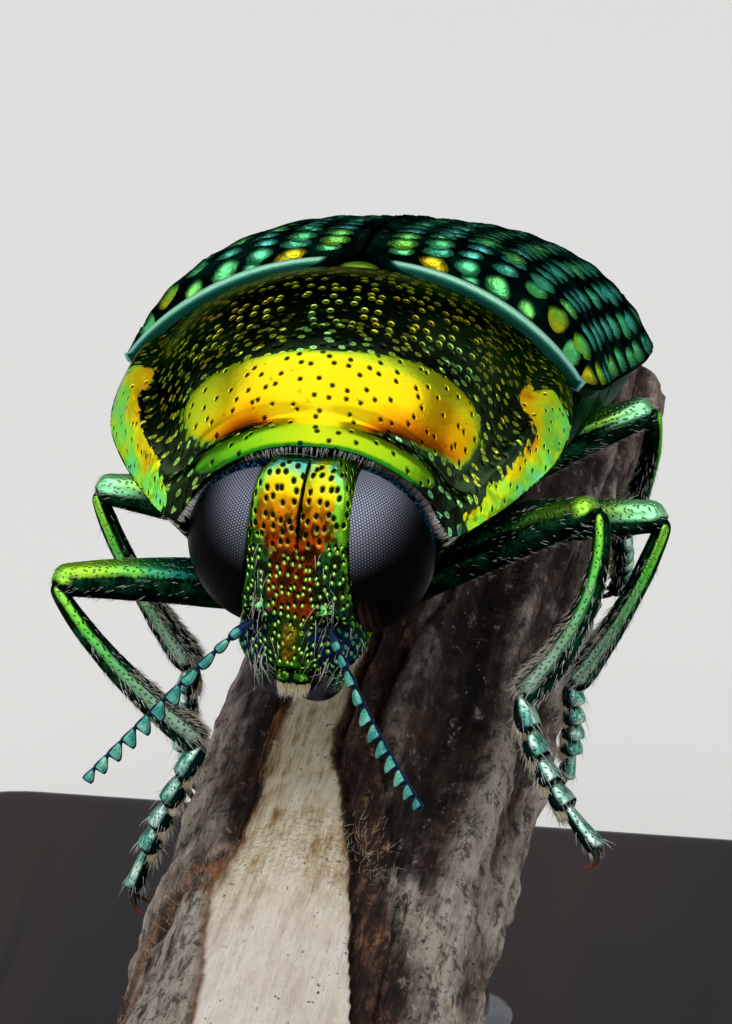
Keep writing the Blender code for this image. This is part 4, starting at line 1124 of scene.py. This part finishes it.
def eye(side):
    """One compound eye, cut flat where it meets the face."""
    start = FRONS + GAP + (0.1 if side > 0 else 0.0)
    reach = EYE_CENTRE[0] + EYE_RADII[0] - start
    share = np.sin(np.linspace(0, np.pi / 2, 120))[:, None]
    angle = turns(220)[None]
    x = start + reach * share
    size = np.sqrt(np.clip(1 - ((x - EYE_CENTRE[0]) / EYE_RADII[0]) ** 2, 0, 1))
    z = EYE_CENTRE[2] + EYE_RADII[2] * size * np.cos(angle)
    y = EYE_CENTRE[1] + EYE_RADII[1] * size * np.sin(angle)
    x = x - FRONS_TAPER * (z - EYE_CENTRE[2]) * (1 - share)
    grid = np.stack([x * side, y, z], axis=2)
    up, out = (z - EYE_CENTRE[2]) / EYE_RADII[2], (x - start) / reach
    reach_out = 0.9 if side > 0 else 0.74
    sheen = step(-0.25, 0.7, up - 0.4 * out) * step(reach_out, 0.1, out) * (0.6 + 0.4 * step(1.0, 0.6, up))
    sheen = sheen * (1 if side > 0 else 0.72)
    low = bell(up, -0.72, 0.22) * step(0.42, 0.08, out) * (side > 0) * (0.6 + 0.4 * np.cos(60 * out))
    # The facets' chart spreads from the point that faces forwards and outwards, so they stay even in front.
    round_place = unit((grid - EYE_CENTRE * (side, 1, 1)) / EYE_RADII)
    pole = unit(np.array((0.45 * side, -0.88, 0.12)))
    one = unit(np.cross((0, 0, 1.0), pole))
    two = np.cross(pole, one)
    away = np.arccos(np.clip(round_place @ pole, -1, 1))
    spread = 1.6 * away / np.maximum(np.sin(away), 1e-6)
    chart = np.stack([round_place @ one * spread, round_place @ two * spread], axis=2)
    # Behind the eye the head's own rim shows as a thin navy ring.
    ring_start = -0.05 if side > 0 else -0.28
    ring = (step(ring_start - 0.03, ring_start + 0.03, round_place[..., 1])
            * step(-0.1, 0.3, round_place[..., 2]))
    return grid, chart, dict(sheen=sheen * (1 - ring), low=low, ring=ring)


def labrum():
    """The upper lip, a small notched plate."""
    across = np.linspace(-1, 1, 60)[:, None]
    angle = turns(48)
    round_off = np.sqrt(np.clip(1 - across**4, 0.002, 1))
    tall = 0.17 * round_off
    z = -4.4 + tall * np.sin(angle) + 0.05 * bell(across, 0, 0.2) * (np.sin(angle) < 0)
    y = -6.56 + 0.14 * round_off * np.cos(angle) + 0.12 * across**2
    high = (z + 4.4) / 0.17
    return np.stack([0.42 * across - 0.03 + 0 * z, y, z], axis=2), dict(across=across, high=high)


def mandible(side):
    """A stout jaw that closes under the lip: broad at the cheek, blunt where the two meet."""
    share = np.linspace(0, 1, 60)
    path = bent((0.66 * side, -5.9, -4.14), (0.72 * side, -6.25, -4.84), (0.02 * side, -6.35, -4.74), share)
    wide = 0.38 * np.sqrt(np.clip(1 - (2 * share - 0.8) ** 2 * 0.62, 0.02, 1)) * step(-0.05, 0.1, share)
    wide = wide * (1 - 0.42 * share) * step(1.03, 0.93, share)
    grid, angle = limb_rings(path, (0, 1, 0), wide + 0.01, wide * 0.8 + 0.01, 44)
    grid = pushed(grid, 0.02 * np.cos(3 * angle)[None] * np.sin(np.pi * share)[:, None])
    return grid, dict(along=share[:, None])


def antenna(name):
    """Eleven joints, oval up to the fourth. From the fifth on each has a blunt tooth on its lower side."""
    socket, bend, tip = ANTENNAE[name]
    lower = (-math.copysign(1.0, socket[0]), 0.0, -0.55)
    skins = []
    ends = np.r_[0, np.cumsum((1.45, 0.9, 1.1, 1.12, 1.05, 0.98, 0.94, 0.92, 0.92, 0.88, 0.74))]
    ends = ends / ends[-1]
    for joint in range(len(ends) - 1):
        share = np.linspace(0.0, 1.0, 34)
        place = ends[joint] + (ends[joint + 1] - ends[joint]) * (1.06 * share - 0.03)
        path = evenly(lambda t: bent(socket, bend, tip, t), place)
        round_off = step(-0.1, 0.14, share) * step(1.04, 0.93, share)
        oval = np.clip(np.sin(np.pi * share**1.7), 0, 1) ** 0.55 * round_off
        stalk = 0.034
        if joint < 4:
            wide, shift = stalk + (0.072, 0.066, 0.074, 0.084)[joint] * oval, 0.02 * joint * oval
        else:
            big = (0.105, 0.118, 0.12, 0.112, 0.1, 0.086, 0.06)[joint - 4]
            tooth = step(0.0, 0.75, share) ** 0.9 * step(1.01, 0.84, share) * big
            wide = stalk + 0.02 * oval + tooth
            shift = tooth
        thick = stalk + np.minimum(wide - stalk, 0.05)
        grid, angle = limb_rings(path, lower, wide, thick, 36, shift)
        # The pale patch on the flat faces of each joint is partly its own turquoise and partly a painted
        # highlight.
        light = (step(0.06, 0.34, share) * step(0.96, 0.8, share)
                 * (step(0.45, 0.7, share) if joint == 0 else 1.0))
        side_on = step(-0.97, -0.55, -np.abs(np.cos(angle))) * step(-0.6, 0.3, np.cos(angle) + 0.75)
        face = side_on[None] * light[:, None]
        skins.append(skin(grid, FACE, face=face, tone=step(0.88, 1.0, share)[:, None]))
    return skins


# ---------------------------------------------------------------- legs

LIMB_ROWS, JOINT_ROWS = 120, 26
FEMUR_WIDTHS = ((0, 0.4), (0.12, 0.5), (0.35, 0.53), (0.7, 0.45), (0.9, 0.37), (0.97, 0.3), (1, 0.06))
TIBIA_WIDTHS = ((0, 0.05), (0.02, 0.14), (0.06, 0.19), (0.2, 0.22), (0.5, 0.26), (0.8, 0.33), (0.93, 0.36),
                (0.985, 0.28), (1, 0.1))


def leg_paths(place):
    """The ways of a leg's thigh, shin and foot, each as its start, bend and end, and the side it is on."""
    hip, knee, heel, toe = (np.array(point) for point in LEGS[place])
    outward = np.array((math.copysign(1.0, knee[0]), 0, 0))
    shin = unit(heel - knee)
    thigh_bend = (hip + knee) / 2 + np.array((0, 0, 0.24))
    shin_start = knee + shin * 0.06
    shin_bend = (shin_start + heel) / 2 + 2 * outward * SHIN_BOW.get(place, 0.2)
    sole = (heel + toe) / 2 + outward * FOOT_BOW.get(place, 0.2)
    return (hip, thigh_bend, knee), (shin_start, shin_bend, heel), (heel - shin * 0.06, sole, toe), outward


def limb(way, widths, flat, part, toward, seed, furrow, glow, cool):
    """A limb along a bent way, furrowed beside the ridge that faces toward: its grid, and it as a skin."""
    share = np.linspace(0, 1, LIMB_ROWS)
    path = bent(*way, share)
    radius = curve(widths, share)
    grid, _ = limb_rings(path, (0, 1, 0), radius, radius * flat, 56)
    ahead = unit(np.gradient(path, axis=0))
    crest = unit(np.array(toward) - ahead * (ahead @ np.array(toward))[:, None])
    # top: how far each point faces toward, which places the painted highlight.
    top = np.einsum("ijk,ik->ij", grid_normals(grid), crest)
    grooves = bell(top, 0.66, 0.14) * (np.sin(np.pi * share) ** 0.6)[:, None]
    grid = pushed(grid, 0.008 * cloud(grid.shape[:2], 12, 8, seed) - furrow * grooves)
    return grid, skin(grid, BODY, top=top, along=share[:, None], part=part, glow=glow, cool=cool)


def foot(way, outward):
    """Five rounded joints with notched ends and two curved claws, and the lobes below the joints."""
    skins, lobes, joints = [], [], []
    ends = np.cumsum((0, 0.23, 0.19, 0.17, 0.16, 0.25))
    side, toe = np.array((0, 1.0, 0)), way[2]
    way_along, ahead = unit(way[2] - way[0]), unit(way[2] - way[1])
    below = unit(-outward - way_along * (way_along @ -outward))
    share = np.linspace(0, 1, JOINT_ROWS)
    lobe_share = np.linspace(0, 1, 20)
    for joint in range(5):
        path = bent(*way, ends[joint] + (ends[joint + 1] - ends[joint]) * (1.22 * share - 0.07))
        last = joint == 4
        wide = 0.14 + (0.12 * share if last else 0.17 * np.sin(np.pi / 2 * np.clip(share / 0.72, 0, 1)))
        wide = wide * np.clip(1 - (2 * share - 1) ** 14, 0.003, 1) ** 0.5
        grid, angle = limb_rings(path, side, wide, wide * 0.8, 36)
        if not last:
            notch = 0.06 * bell(share, 0.97, 0.1)[:, None] * (1 + np.cos(2 * angle + np.pi))
            grid = grid - unit(np.gradient(path, axis=0))[:, None] * notch[..., None]
        normal = grid_normals(grid)
        up = normal @ np.array(BODY)[2, :3]
        # top: how far each point faces up and away from the sole, which places the painted highlight.
        skins.append(skin(grid, BODY, top=0.5 * up + 0.6 * (normal @ -below),
                          along=(0.5 if last else 1) * share[:, None], part=2))
        joints.append(grid)
        for turn in () if last else (1, -1):
            at = bent(*way, np.linspace(ends[joint] + 0.07, ends[joint + 1] + 0.06, len(lobe_share)))
            at = at + side * turn * 0.1 * (0.5 + 0.7 * lobe_share)[:, None] + below * 0.13
            size = 0.16 * np.sqrt(np.clip(1 - (2 * lobe_share - 1.15) ** 2 * 0.75, 0.02, 1))
            size = size * np.sqrt(np.clip(1 - (2 * lobe_share - 1) ** 10, 0.01, 1))
            lobes.append(limb_rings(at, side, size * 0.8, size * 0.75, 24)[0])
    for turn in (1, -1):
        base = toe - ahead * 0.14 + side * turn * 0.06
        knuckle = toe + ahead * 0.42 + side * turn * 0.3
        point = toe + ahead * 0.46 - outward * 0.48 + side * turn * 0.36
        thick = 0.085 * (1 - 0.9 * share**1.4)
        grid, _ = limb_rings(bent(base, knuckle, point, share), side, thick, thick * 1.15, 16)
        skins.append(skin(grid, BODY, top=0.3, along=share[:, None], part=3))
    return skins, lobes, joints


# ---------------------------------------------------------------- perch and stand


def perch():
    """A weathered stick, cut at both ends: a bare strip between splits, and ridged bark round the rest."""
    shape, cap_rows = (440, 216), 22
    y = np.linspace(-PERCH_LENGTH / 2, PERCH_LENGTH / 2, shape[0])[:, None]
    angle = turns(shape[1])[None]
    ridges = 0.028 * np.sin(3 * angle + 0.4) + 0.02 * np.sin(5 * angle + 0.09 * y + 1.3)
    radius = PERCH_RADIUS * (1 + ridges)
    wide = 1.06 + 0.0026 * y
    # The bare strip's two edges, as angles round the stick. It widens to the left towards the front end.
    near = curve(((-20, 52), (-17, 57), (-15, 62), (-13, 70), (-10, 81), (-6, 92), (-4, 96), (0, 99),
                  (20, 96)), y)
    far = curve(((-20, 112), (-15, 116), (-12, 123), (-10.3, 126), (-9, 121), (-4, 121), (0, 122),
                 (20, 118)), y)
    crack = curve(((-20, 158), (-13, 155), (-11.7, 148), (-10, 139), (-8.5, 125), (-8, 124)), y)
    coarse, fibre = cloud(shape, 90, 9, 11), cloud(shape, 60, 3.2, 12, 1.1)
    fine = cloud(shape, 8, 3, 13, 1.0)
    turned = np.degrees(angle) + 2.2 * cloud(shape, 40, 14, 14) + 1.2 * cloud(shape, 10, 5, 15)
    bare = step(-0.8, 1.2, turned - near) * step(0.8, -1.2, turned - far)
    behind = step(-8, -9, y)
    aged = step(-1, 1, turned - far) * step(1, -1, turned - crack) * behind
    ragged = 3.0 * cloud(shape, 5, 3, 16)
    rust = np.maximum(bell(turned - far + 0.5 * ragged, 1.5, 3.6) * (1 - behind),
                      bell(turned - crack + ragged, -5, 6) * behind)
    dark = step(-22, -16, turned - near) * step(1, -1.5, turned - near)
    split = np.clip(bell(turned - far, 4.0, 2.2) * (1 - behind) + bell(turned - near, -2.5, 2.0)
                    + 0.8 * bell(turned - near, -19 - 5 * np.sin(0.5 * y), 1.6)
                    + bell(turned - crack + ragged, -3.5, 2.8) * behind, 0, 1)
    spiral = turned - 62 - 9 * (y + 9.3)
    peel = (bell(y, -8.7, 0.6) * bell(turned - near, -10, 7)
            + 0.5 * bell(spiral, 0, 4) * step(-9, -10, y) * step(-15, -14, y)
            + 0.2 * bell(turned - crack, 0, 3) * step(-8.5, -9.5, y))
    second = bell(turned, 20 + 6 * np.sin(0.3 * y), 2.4) * step(-6, -2, y + 3 * np.sin(angle))
    rough = step(-0.2, 0.5, np.cos(angle))
    heights = ((1 - bare) * (0.1 * coarse + (0.06 + 0.06 * rough) * fibre + 0.05 * fine)
               + bare * (0.022 * fibre - 0.12))
    heights = heights - 0.1 * dark
    heights = heights - 0.3 * split - 0.18 * second
    height_field = step(-2.2, 2.2, 0.8 * coarse + fibre + 0.5 * fine)
    ends = bell(np.abs(y), PERCH_LENGTH / 2, 0.12)
    radius = radius + np.clip(heights, -0.5, 0.28) - 0.1 * ends
    x, z = np.cos(angle) * radius * wide, PERCH_AXIS + np.sin(angle) * radius
    grid = np.stack([x, y + 0 * x, z], axis=2)
    caps = []
    for end in (0, -1):
        sizes = np.linspace(0.97, 0.06, cap_rows)[:, None]
        ring = grid[end]
        centre = ring.mean(0)
        cap = centre + (ring - centre)[None] * sizes[..., None]
        rings_look = (0.03 * np.cos(2 * np.pi * sizes * 6 + 0.6 * np.sin(3 * angle))
                      + 0.05 * bell(sizes, 0.1, 0.1))
        cracks = 0.16 * bell(np.mod(angle * 2.5 / np.pi + 0.1 * np.sin(9 * sizes), 1), 0.5, 0.03) * sizes
        cap[..., 1] += (1 if end else -1) * (rings_look - cracks) * np.ones_like(cap[..., 1])
        caps.append(cap)
    grid = np.concatenate([caps[0][::-1], grid, caps[1]])
    # Each field with its value on the cut ends.
    marks = dict(bare=(bare, 0.55), split=(np.clip(split + second, 0, 1), 0), height=(height_field, 0.6),
                 rust=(rust, 0), dark=(dark, 0), peel=(peel, 0),
                 pale=(np.maximum(bell(spiral, -3, 9) * step(-8.6, -9.6, y), 0.6 * aged), 0))
    return grid, {key: padded(*pair, shape, cap_rows, cap_rows) for key, pair in marks.items()}


def stand_base():
    """A flat base with rounded corners, a small foot bead, a cove and an eased upper edge."""
    profile = [(0.24, 0.0), (0.06, 0.1), (0.0, 0.24), (0.0, 1.5), (0.1, 1.62), (0.22, 1.68), (0.22, 1.82),
               (0.12, 1.9)]
    profile += [(0.1, 2.1 + 1.2 * k / 6) for k in range(7)]
    profile += [(0.1 + 0.62 * (1 - math.cos(math.pi * k / 20)), 3.36 + 0.62 * math.sin(math.pi * k / 20))
                for k in range(11)]
    profile += [(0.9 + 0.3 * k, 3.99) for k in range(9)]
    rings = []
    for inset, level in profile:
        corner = BASE_CORNER - inset
        ring = []
        for quarter in range(4):
            x_side, y_side = (1 if quarter in (0, 3) else -1), (1 if quarter in (0, 1) else -1)
            for k in range(16):
                angle = math.radians(90 * quarter + 6 * k)
                ring.append((x_side * (BASE[0] / 2 - BASE_CORNER) + corner * math.cos(angle),
                             y_side * (BASE[1] / 2 - BASE_CORNER) + corner * math.sin(angle), level))
        rings.append(ring)
    return np.array(rings)


def rod(y):
    """A polished rod with a thin collar at its foot and another under the perch."""
    low, high = BASE[2] - 1.5, PERCH_AXIS - PERCH_RADIUS + 1.5
    levels = np.r_[low, 3.9, np.linspace(3.98, 4.6, 14), np.linspace(4.7, high - 2.6, 20),
                   np.linspace(high - 2.5, high, 16)]
    foot_collar = step(4.55, 4.4, levels) * step(3.9, 3.97, levels)
    top = PERCH_AXIS - PERCH_RADIUS
    head_collar = step(top - 0.72, top - 0.6, levels)
    radius = ROD_RADIUS + 0.55 * foot_collar + 0.3 * head_collar
    angle = turns(48)
    return np.stack([radius[:, None] * np.cos(angle), y + radius[:, None] * np.sin(angle),
                     levels[:, None] + 0 * angle], axis=2)


# ---------------------------------------------------------------- the model

looks = {
    "elytra": elytra_finish(), "pronotum": pronotum_finish(), "head": head_finish(), "eye": eye_finish(),
    "antenna": antenna_finish(), "leg": leg_finish(), "venter": venter_finish(), "mouth": mouth_finish(),
    "lip": lip_finish(), "foot_lobe": pad_finish(), "bark": bark_finish(), "stand": stand_finish(),
    "rod": rod_finish(), "wood_fibre": fibre_finish(),
    "white_hair": hair_finish("white_hair", "#d8d6cc", "#ffffff"),
    "pale_bristle": hair_finish("pale_bristle", "#d8c98c", "#fff8dc"),
    "foot_pad": hair_finish("foot_pad", "#a39478", "#eee6d2"),
}

for name, mirror in (("left", 1), ("right", -1)):
    grid, fields = elytron(mirror)
    add_piece("wing_case_" + name, [skin(grid, HIND, **fields)], "elytra", "elytra", "elytron_" + name)

add_piece("scutellum_shield", [skin(scutellum(), HIND, pit=0.35, tone=0.74, rim=0, back=0, outward=0)],
          "elytra", "elytra", "scutellum")

waist = WAIST / ELYTRA_LENGTH
chest = venter_grid(np.linspace(0.003, waist - 0.003, 110))
belly = venter_grid(np.linspace(waist + 0.006, 0.985, 150), plates=True)
add_piece("thorax_underside", [skin(chest, HIND)], "venter", "venter", "thorax")
add_piece("abdomen_plates", [skin(belly, HIND)], "venter", "venter", "abdomen")

shield_grid, shield_fields = prothorax()
add_piece("pronotum_shell", [skin(shield_grid, BODY, PRONOTUM_MIDDLE, **shield_fields)], "pronotum",
          "pronotum", "pronotum")

head_grid, head_fields, facing = head_capsule()
add_piece("head_capsule", [skin(head_grid, FACE, FACE_MIDDLE, **head_fields)], "head", "head", "head")

for name, side in (("left", 1), ("right", -1)):
    grid, chart, fields = eye(side)
    add_piece("compound_eye_" + name, [skin(grid, FACE, chart=chart, **fields)], "eye", "eye", "eye_" + name)
    add_piece("feeler_" + name, antenna(name), "antenna", "antenna", "antenna_" + name)
    grid, fields = mandible(side)
    add_piece("jaw_" + name, [skin(grid, FACE, **fields)], "mouth", "mouth", "mandible_" + name)

lip_grid, lip_fields = labrum()
add_piece("upper_lip", [skin(lip_grid, FACE, **lip_fields)], "lip", "head", "labrum")

leg_groups, pad_groups, joint_groups = [], [], []
limb_share, joint_share = (np.linspace(0, 1, rows)[:, None] for rows in (LIMB_ROWS, JOINT_ROWS))
for number, place in enumerate(LEGS):
    thigh, shin, sole, outward = leg_paths(place)
    shin_crest = (-0.2 * outward[0], -0.9, 0.5) if "front" in place else (0.5 * outward[0], -0.6, 0.7)
    # The left front thigh's painted highlight is faint but for its knee; the middle and hind legs' knees are
    # painted mint.
    thigh_highlight, cool = 0.16 if place == "left_front" else 1.0, 0.0 if "front" in place else 1.0
    thigh_grid, thigh_skin = limb(thigh, FEMUR_WIDTHS, 0.92, 0, (0, -0.25, 1), number, 0.05, thigh_highlight,
                                  cool)
    shin_grid, shin_skin = limb(shin, TIBIA_WIDTHS, 0.9, 1, shin_crest, number + 20, 0.07, 1.0, cool)
    foot_skins, lobes, joints = foot(sole, outward)
    add_piece("thigh_" + place, [thigh_skin], "leg", "leg", place + "_femur")
    add_piece("shin_" + place, [shin_skin], "leg", "leg", place + "_tibia")
    add_piece("foot_" + place, foot_skins, "leg", "leg", place + "_tarsus")
    add_piece("foot_lobes_" + place, [skin(lobe, BODY) for lobe in lobes], "foot_lobe", "leg")
    leg_groups.append(dict(grid=thigh_grid, mask=step(0.3, 0.5, limb_share), count=260, length=(0.1, 0.2),
                           lean=2.4, radius=0.0075))
    leg_groups.append(dict(grid=shin_grid, mask=step(0.05, 0.7, limb_share), count=420, length=(0.1, 0.2),
                           lean=2.2, radius=0.0075))
    inner_side = step(0.1, 0.7, grid_normals(shin_grid) @ -outward)
    pad_groups.append(dict(grid=shin_grid, mask=step(0.5, 0.75, limb_share) * inner_side, count=420,
                           length=(0.1, 0.2), lean=0.9, radius=0.007, stray=0.12))
    pad_groups += [dict(grid=lobe, mask=1.0, count=64, length=(0.1, 0.24), lean=1.2, radius=0.0085,
                        droop=(0, 0, -0.1)) for lobe in lobes[::2] + lobes[1::2]]
    joint_groups += [dict(grid=joint, mask=step(0.3, 0.8, joint_share), count=36, length=(0.12, 0.27),
                          lean=1.7, radius=0.0065, droop=(0, 0, -0.2)) for joint in joints]
coat("leg_hairs", "white_hair", *leg_groups)
coat("foot_pad_hairs", "foot_pad", *pad_groups)

chin_angle, chin_share = turns(60), np.linspace(0.06, 0.94, 30)[:, None] * np.pi
chin = np.stack([0.78 * np.sin(chin_share) * np.cos(chin_angle),
                 -5.95 + 0.5 * np.sin(chin_share) * np.sin(chin_angle),
                 -4.4 + 0.48 * np.cos(chin_share) + 0 * chin_angle], axis=2)
add_piece("mouth_floor", [skin(chin, FACE, along=0.6)], "mouth", "mouth")

# Hairs stand in the hollows beside the muzzle, on the cheeks and at the muzzle's sides.
x, y, z = np.moveaxis(head_grid, 2, 0)
hollow = step(-1.6, -2.2, z) * step(0.3, 0.6, np.abs(x)) * step(0.88, 0.78, np.abs(x))
hollow = facing * hollow * (1 - 0.65 * step(-2.7, -3.1, z) * step(0, 0.2, x))
cheek = step(-3.0, -3.4, z) * step(0.75, 1.1, np.abs(x)) * step(-5.2, -6.0, y)
muzzle = facing * step(-3.0, -3.3, z) * step(-4.2, -4.0, z)
face = dict(grid=head_grid, frame=FACE)
coat("face_hairs", "white_hair",
     dict(face, mask=hollow, count=54, length=(0.16, 0.46), lean=1.0, radius=0.0068, stray=0.5,
          droop=(0, 0, -0.3), curl=0.7),
     dict(face, mask=cheek, count=36, length=(0.1, 0.2), lean=1.3, radius=0.008, stray=0.4,
          droop=(0, 0, -0.4)),
     *(dict(face, mask=muzzle * step(0.2, 0.5, side * x), count=14, length=(0.2, 0.42), radius=0.006,
            stray=0.35, toward=(-0.9 * side, -0.5, -0.5), curl=0.8) for side in (-1, 1)))

# The fringe grows inside the pronotum's front edge: just inside it in the middle, and deeper in beside that.
depth = np.arange(len(shield_grid))[:, None] - (len(shield_grid) - SOCKET_ROWS)
beside = step(0.25, 0.5, np.abs(shield_fields["across"][0]))
inside_edge = ((depth >= 0) & (depth <= 1)) * (1 - beside) + ((depth >= 5) & (depth <= 6)) * beside
inside_edge = inside_edge * step(-2.0, -1.7, shield_grid[..., 2])
coat("collar_fringe", "white_hair",
     dict(grid=shield_grid, mask=inside_edge, count=1300, length=(0.12, 0.24), lean=1.0, radius=0.0038,
          stray=0.1, toward=(0, -0.9, 0), droop=(0, 0, 0)))

# The lip's bristles: two tufts that lean together, and a row along the middle.
x, y, z = np.moveaxis(lip_grid, 2, 0)
x = x + 0.03
lip_front = step(-6.5, -6.6, y) * step(-4.45, -4.55, z)
bristles = dict(grid=lip_grid, frame=FACE, lean=0.0, stray=0.16, radius=0.008, droop=(0, 0, -0.2), curl=0)
coat("lip_bristles", "pale_bristle",
     *(dict(bristles, mask=lip_front * step(0.16, 0.22, side * x) + 1e-6, count=80, length=(0.1, 0.22),
            toward=(-0.5 * side, -0.3, -1.0)) for side in (-1, 1)),
     dict(bristles, mask=lip_front * step(0.26, 0.2, np.abs(x)) + 1e-6, count=170, length=(0.16, 0.27),
          toward=(0, -0.3, -1.1)))

# ---------------------------------------------------------------- perch, stand and studio

bark_grid, bark_fields = perch()
add_piece("perch_stick", [skin(bark_grid, WORLD, **bark_fields)], "bark", "bark", "perch_branch")
add_piece("stand_foot", [skin(stand_base(), WORLD)], "stand", "stand", "stand_base")
coat("bark_fibres", "wood_fibre",
     dict(grid=bark_grid, frame=WORLD, mask=bark_fields["peel"], count=620, length=(0.12, 0.5), lean=-2.2,
          radius=0.008, stray=0.8, droop=(0, 0, -0.2), curl=1.2))
coat("foot_bristles", "white_hair", *joint_groups)
for name, y in zip(("front", "rear"), ROD_PLACES):
    add_piece("stand_rod_collared_" + name, [skin(rod(y), WORLD)], "rod", "rod", "stand_rod_" + name)


def add_light(name, place, aim, size, power):
    light = bpy.data.lights.new(name, "AREA")
    light.shape, light.size, light.size_y, light.energy = "RECTANGLE", *size, power
    made = bpy.data.objects.new(name, light)
    bpy.context.scene.collection.objects.link(made)
    made.location = place
    made.rotation_mode = "QUATERNION"
    made.rotation_quaternion = (aim - place).to_track_quat("-Z", "Y")


target = (BODY @ Vector((0, -3, 0))) * MM
for name, away, size, power in (("overhead", (-0.08, -0.28, 1.0), (1.7, 1.4), 11),
                                ("front_fill", (-0.32, -1.15, 0.42), (1.2, 0.75), 2.6),
                                ("left_fill", (-1.15, 0.0, 0.42), (0.8, 0.75), 1.5),
                                ("right_fill", (1.15, 0.0, 0.42), (0.8, 0.75), 1.5)):
    add_light(name, target + Vector(away), target, size, power)

floor_mesh = bpy.data.meshes.new("floor")
floor_mesh.from_pydata([(-3, -3, 0), (3, -3, 0), (3, 3, 0), (-3, 3, 0)], [], [(0, 1, 2, 3)])
floor = bpy.data.objects.new("floor", floor_mesh)
paper = Graph("pale_floor", Roughness=0.75)
paper.colour = paper.mix(paper.noise(4, 2), "#efeeea", "#f3f2ee")
floor_mesh.materials.append(paper.done())
bpy.context.scene.collection.objects.link(floor)
bpy.context.scene.view_settings.view_transform = "Standard"

world = bpy.data.worlds.new("studio")
world.use_nodes = True
background = world.node_tree.nodes["Background"].inputs
background["Color"].default_value, background["Strength"].default_value = (0.55, 0.57, 0.6, 1), 0.4
bpy.context.scene.world = world

# The camera looks at the face from a little to its left and above. SHOWN is the height that it sees at AIM.
azimuth, elevation, roll = (math.radians(angle) for angle in (7.94, 17.14, 1.27))
AIM, AWAY, SHOWN, SENSOR = Vector((0.984, -5.0, -1.45)), 125.0, 19.88272, 36
back = Vector((math.sin(azimuth) * math.cos(elevation), -math.cos(azimuth) * math.cos(elevation),
               math.sin(elevation)))
right = Vector((math.cos(azimuth), math.sin(azimuth), 0))
up = back.cross(right)
axes = Matrix((right * math.cos(roll) + up * math.sin(roll), up * math.cos(roll) - right * math.sin(roll),
               back))
camera_data = bpy.data.cameras.new("camera")
camera_data.lens, camera_data.sensor_width, camera_data.clip_start = AWAY / SHOWN * SENSOR, SENSOR, 0.001
camera = bpy.data.objects.new("camera", camera_data)
bpy.context.scene.collection.objects.link(camera)
stance = BODY @ Matrix.Translation(AIM + back * AWAY) @ axes.transposed().to_4x4()
stance.translation *= MM
camera.matrix_world = stance
bpy.context.scene.camera = camera
